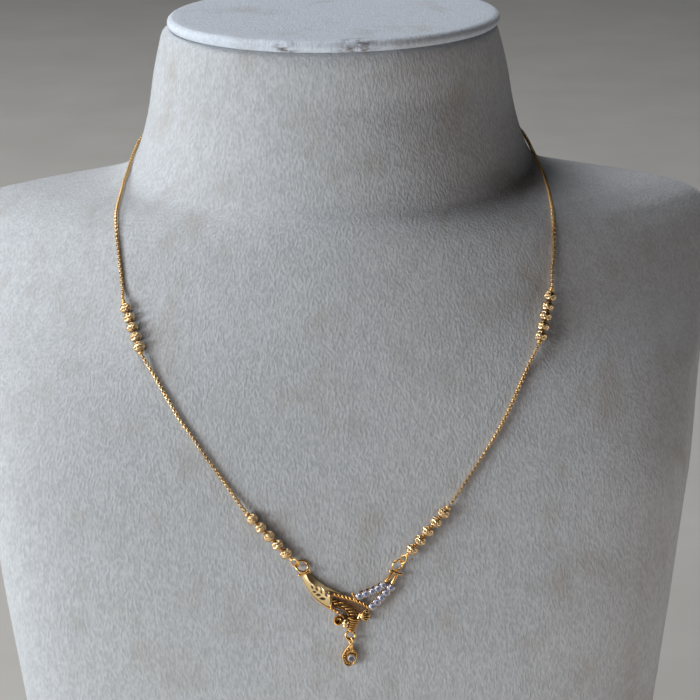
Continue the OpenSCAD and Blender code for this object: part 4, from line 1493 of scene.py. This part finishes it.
@dataclass
class BrilliantStone:
    """A round stone in a full cut: table, star and main facets, girdle and pavilion."""

    place: Place
    finishes: Finishes
    diameter: float
    height: float
    table: float = 0.68
    table_finish: Facet = Facet.TABLE

    def build(self, node: str) -> None:
        """Builds the stone for a node, as the hull of its corners."""
        # Share of the radius, share of the height, corners, turn in steps
        rings = (
            (self.table, 1.0, 8, 0.5), (0.5 + self.table / 2, 0.88, 8, 0.0), (1.0, 0.64, 16, 0.0),
            (1.0, 0.58, 16, 0.0), (0.55, 0.28, 8, 0.5), (0.06, 0.0, 8, 0.5),
        )
        work = bmesh.new()
        for out, up, sides, shift in rings:
            for corner in self.place.put(circle(out * self.diameter / 2, up * self.height, sides, shift)):
                work.verts.new(corner)
        bmesh.ops.convex_hull(work, input=work.verts)
        bmesh.ops.dissolve_limit(work, angle_limit=math.radians(1), verts=work.verts, edges=work.edges)
        bmesh.ops.scale(work, vec=(MM, MM, MM), verts=work.verts)
        bmesh.ops.recalc_face_normals(work, faces=work.faces)
        work.normal_update()
        for face in work.faces:
            # Painted reflection: the table faces get the dark table material, the rest the pale crown.
            face.material_index = int(vec(*face.normal) @ self.place.axes[2] > 0.97)
        mesh = bpy.data.meshes.new(f"{node}_cut")
        work.to_mesh(mesh)
        work.free()
        for facet in (Facet.CROWN, self.table_finish):
            mesh.materials.append(self.finishes.get(facet))
        hand_in(add_object(f"{node}_cut", mesh), node)


@dataclass
class PendantRings(Pendant):
    """The rings that the pendant hangs in, their collars, and the ring that carries the drop."""

    side_rings: tuple = ((-12.5, 9.65, 0.95), (12.8, 9.4, 0.95))
    turns: tuple = (-23, 50)
    leans: tuple = (-40, 38)
    feet: tuple = ((-12.2, 8.32, 1.88), (12.47, 7.88, 0.4))
    collars: tuple = (((-13.5, 7.2), (-10.2, 8.4)), ((10.5, 8), (13.9, 6.9)))
    ring: float = 3.3
    ring_wire: float = 0.64
    foot_radii: Point = (0.34, 0.4)
    bottom: Point = (-0.05, -9.3)
    bottom_ring: float = 2.4
    bottom_wire: float = 0.68
    bottom_joint: tuple = ((0.05, -8.15, 1.1), (0.5, 0.35, 0.42))

    def build(self) -> None:
        """Builds the rings."""
        solid = Solid(self.place)
        for spot, turn, lean, foot, collar in zip(self.side_rings, self.turns, self.leans, self.feet, self.collars):
            x, y, _ = (turn_about(z=turn) @ turn_about(x=lean)).T
            solid.hoop(spot, x, y, self.ring / 2, self.ring_wire / 2, 40, 14)
            a, b = np.array(collar)
            shares = np.linspace(0.08, 0.92, 9)
            line = [(*(a + (b - a) * s), self.plane + 0.12 * math.sin(math.pi * s)) for s in shares]
            solid.tube(line, 0.36 + 0.05 * np.cos(np.linspace(0, 4 * np.pi, 9)), 14)
            solid.tube([foot, (*((a + b) / 2), self.plane)], self.foot_radii, 12, up=(1, 0, 0))
        middle = (*self.bottom, self.plane)
        solid.hoop(middle, vec(1, 0, 0), vec(0, 1, 0), self.bottom_ring / 2, self.bottom_wire / 2)
        solid.ball(*self.bottom_joint, sides=14)
        self.solder(solid, "rings", Metal.CAST)


@dataclass
class Drop(Pendant):
    """The drop: an eye, a grained paisley plate with a bright rim, and a stone in a round bezel.

    Its own place has the eye at the origin. The edge's steps are insets and heights from the nearer face, and the
    bezel's profile counts from the girdle of the stone outwards.
    """

    eye_at: Point = (0.05, -10.65, 1.1)
    lean: float = 14.0
    eye: float = 1.7
    eye_wire: float = 0.6
    eye_turn: float = 40.0
    neck: tuple = ((0, -0.98, 0), (-0.05, -1.4, 0), (-0.1, -1.95, 0))
    neck_radii: Point = (0.42, 0.56, 0.6)
    outline: tuple = (
        (-0.1, -0.9), (-1.2, -2), (-2.15, -3.5), (-2.45, -4.9), (-2.2, -6), (-1.7, -6.9), (-0.95, -7.4),
        (-0.1, -7.3), (0.85, -6.6), (1.4, -5.5), (1.65, -4.4), (1.5, -3.5), (0.9, -2.6), (0.35, -1.8),
    )
    thickness: float = 1.2
    under_edge: tuple = ((0.3, 0.0), (0.08, 0.08), (0.0, 0.3))
    over_edge: tuple = ((0.0, -0.25), (0.06, -0.06), (0.2, 0.0), (0.36, -0.05), (0.46, -0.2), (0.48, -0.36))
    stone_at: Point = (0.05, -5.0)
    stone: float = 2.0
    stone_height: float = 0.85
    grains: tuple = (
        (-0.85, -2.5), (-1.2, -3.1), (-1.5, -3.75), (-1.65, -4.45), (-1.7, -5.15), (-1.5, -5.85), (-1.1, -6.4),
        (-0.5, -6.7), (0.2, -6.65), (-0.2, -2.2), (0.4, -2.8), (-0.45, -2.9), (0.75, -6.15),
    )
    grain: Point = (0.34, 0.19, 0.28)

    @property
    def own_place(self) -> Place:
        """The drop's place, which hangs from its eye."""
        return self.place.child(self.eye_at, turn_about(x=self.lean))

    def plate(self) -> None:
        """Builds the drop without its stone."""
        solid = Solid(self.own_place)
        turn = math.radians(self.eye_turn)
        across = vec(math.sin(turn), 0, math.cos(turn))
        solid.hoop((0, 0, 0), vec(0, 1, 0), across, self.eye / 2, self.eye_wire / 2, 32, 12)
        solid.tube(self.neck, self.neck_radii, 14)
        edge = smooth_line(self.outline, 0.3, closed=True)
        towards = unit(edge.mean(0) - edge)
        half = self.thickness / 2
        steps = [(inset, up - half) for inset, up in self.under_edge]
        steps += [(inset, up + half) for inset, up in self.over_edge]
        rings = [np.column_stack([edge + towards * inset, np.full(len(edge), w)]) for inset, w in steps]
        solid.loft(rings, flat=True)
        x, y = self.stone_at
        r, low = self.stone / 2, 0.1 - half
        bezel = [(r - 0.35, low), (r + 0.35, low), (r + 0.35, half), (r + 0.28, half + 0.12), (r + 0.17, half + 0.1)]
        bezel += [(r + 0.09, half), (r + 0.08, 0.0), (r - 0.35, 0.0)]
        solid.lathe(bezel, 36, (x, y, 0), closed=True)
        for u, v in self.grains:
            way = math.degrees(math.atan2(v - y, u - x))
            solid.ball((u, v, half - 0.22), self.grain, turn_about(z=way), sides=12)
        names = ("pendant_drop_plate", "gold_pendant", "pendant_drop")
        self.finishes.dress(solid, *names, Metal.CAST, sharp=ROUND_WIRE)

    def build(self) -> None:
        """Builds the drop and its stone."""
        self.plate()
        place = self.own_place.child((*self.stone_at, 0.05))
        # Painted shade: the drop's stone gets a darker painted table.
        stone = BrilliantStone(place, self.finishes, self.stone, self.stone_height, 0.72, Facet.DEEP_TABLE)
        stone.build("drop_stone")


# The studio


def look(at: Array, right: Array, up: Array, back: Array) -> Matrix:
    """Matrix of a light or camera from its place and directions."""
    columns = np.eye(4)
    columns[:3] = np.column_stack([right, up, back, at * MM])
    return Matrix(columns.tolist())


@dataclass(frozen=True)
class SoftBox:
    """A soft light: a square panel that looks at a point."""

    name: str
    at: Point
    size: float
    watts: float
    colour: str
    to: Point = (0.0, 0.0, 180.0)

    def build(self) -> None:
        """Hangs the light."""
        light = bpy.data.lights.new(self.name, "AREA")
        light.shape = "SQUARE"
        light.size = self.size * MM
        light.energy = self.watts
        light.color = srgb(self.colour)[:3]
        back = unit(vec(*self.at) - vec(*self.to))
        right = unit(np.cross(UP, back))
        add_object(self.name, light).matrix_world = look(vec(*self.at), right, np.cross(back, right), back)


@dataclass(frozen=True)
class Studio:
    """Pale floor, soft lights and the camera."""

    floor_size: float = 8000.0
    camera_at: Point = (4.217, -605.065, 398.879)
    camera_down: float = 19.5
    camera_roll: float = 0.95
    focal_px: float = 2222.0
    image_px: float = 700.0
    sensor_mm: float = 36.0
    air: str = "#9aa0a8"
    air_strength: float = 0.02
    boxes: tuple[SoftBox, ...] = (
        SoftBox("key_window_left", (-1501.0, -798.0, 150.0), 700.0, 28.0, "#f0fbff"),
        SoftBox("wall_front_left", (-1159.0, -1243.0, 420.0), 1000.0, 5.6, "#ffe8e2"),
        SoftBox("sky_behind_left", (-736.0, 425.0, 1652.0), 900.0, 21.0, "#fbfdff"),
        SoftBox("card_low_right", (310.0, -130.0, 60.0), 200.0, 0.24, "#fff4ee"),
        SoftBox("card_on_table", (-110.0, -330.0, 6.0), 260.0, 0.26, "#fff8ea", (-60.0, -200.0, 300.0)),
    )

    def camera(self) -> None:
        """Sets up the camera."""
        p, r = math.radians(self.camera_down), math.radians(self.camera_roll)
        forward = vec(0, math.cos(p), -math.sin(p))
        below, level = vec(0, -math.sin(p), -math.cos(p)), vec(1, 0, 0)
        right = math.cos(r) * level + math.sin(r) * below
        down = -math.sin(r) * level + math.cos(r) * below
        data = bpy.data.cameras.new("camera")
        data.sensor_width = self.sensor_mm
        data.lens = self.focal_px / self.image_px * self.sensor_mm
        data.clip_start, data.clip_end = 0.01, 50.0
        camera = add_object("camera", data)
        camera.matrix_world = look(vec(*self.camera_at), right, -down, -forward)
        bpy.context.scene.camera = camera

    def air_light(self) -> None:
        """Fills the room with a dim even light."""
        world = bpy.data.worlds.new("studio_air")
        world.use_nodes = True
        tree = world.node_tree
        tree.nodes.clear()
        glow = add_node(tree, "Background", {"Color": srgb(self.air), "Strength": self.air_strength})
        add_node(tree, "OutputWorld", {"Surface": glow})
        bpy.context.scene.world = world

    def build(self, finishes: Finishes) -> None:
        """Builds the studio."""
        self.camera()
        self.air_light()
        for box in self.boxes:
            box.build()
        half = self.floor_size / 2
        solid = Solid()
        solid.add(half * np.array([(-1, -1, 0), (1, -1, 0), (1, 1, 0), (-1, 1, 0)]), [(0, 1, 2, 3)])
        floor = solid.build("studio_floor", [finishes.get(FloorFinish())], 0)
        bpy.context.scene.view_settings.view_transform = "Standard"


def chain_paths(form: BustForm, clasp: Clasp, groups: dict[tuple[Group, int], BallGroup]) -> dict[str, Array]:
    """Middle lines of the four stretches of chain.

    Args:
        form: The bust's form.
        clasp: The clasp, where the upper stretches start.
        groups: The groups of balls, which the stretches join.

    Returns:
        The line of each stretch by the name of its node.
    """
    lift, gap, step = 0.7, 0.25, 0.3
    paths = {}
    for side, name in enumerate(SIDES):
        upper, lower = groups[Group.UPPER, side], groups[Group.LOWER, side]
        first = [form.beside(r, lift) for r in NECK_ROUTES[side]] + [form.lifted(r, lift) for r in UPPER_ROUTES[side]]
        joint = upper.place.put(vec(0, 0, upper.first_end - gap))
        paths[f"chain_upper_{name}"] = smooth_line([clasp.end(side), *first, joint], step)
        second = [form.lifted(r, lift) for r in LOWER_ROUTES[side]]
        start = upper.place.put(vec(0, 0, upper.last_end + gap))
        end = lower.place.put(vec(0, 0, lower.first_end - gap))
        paths[f"chain_lower_{name}"] = smooth_line([start, *second, end], step)
    return paths


def main() -> None:
    """Builds the studio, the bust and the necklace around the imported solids."""
    logging.basicConfig(level=logging.INFO, format="%(message)s")
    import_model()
    finishes = Finishes()
    Studio().build(finishes)
    form = BustForm()
    NeckBust(form, finishes).build()
    clasp = Clasp(form, finishes)
    clasp.build()
    groups = {(group, side): BallGroup(form, finishes, group, side) for group in Group for side in (0, 1)}
    for balls in groups.values():
        balls.build()
    for i, (name, path) in enumerate(chain_paths(form, clasp, groups).items()):
        BoxChain(finishes, name, path, twist_start=40.0 + 4.0 * i).build()
    for part in (LeftArm, Openwork, RightArm, PendantRings, Drop):
        part(form, finishes).build()


if __name__ == "__main__":
    main()
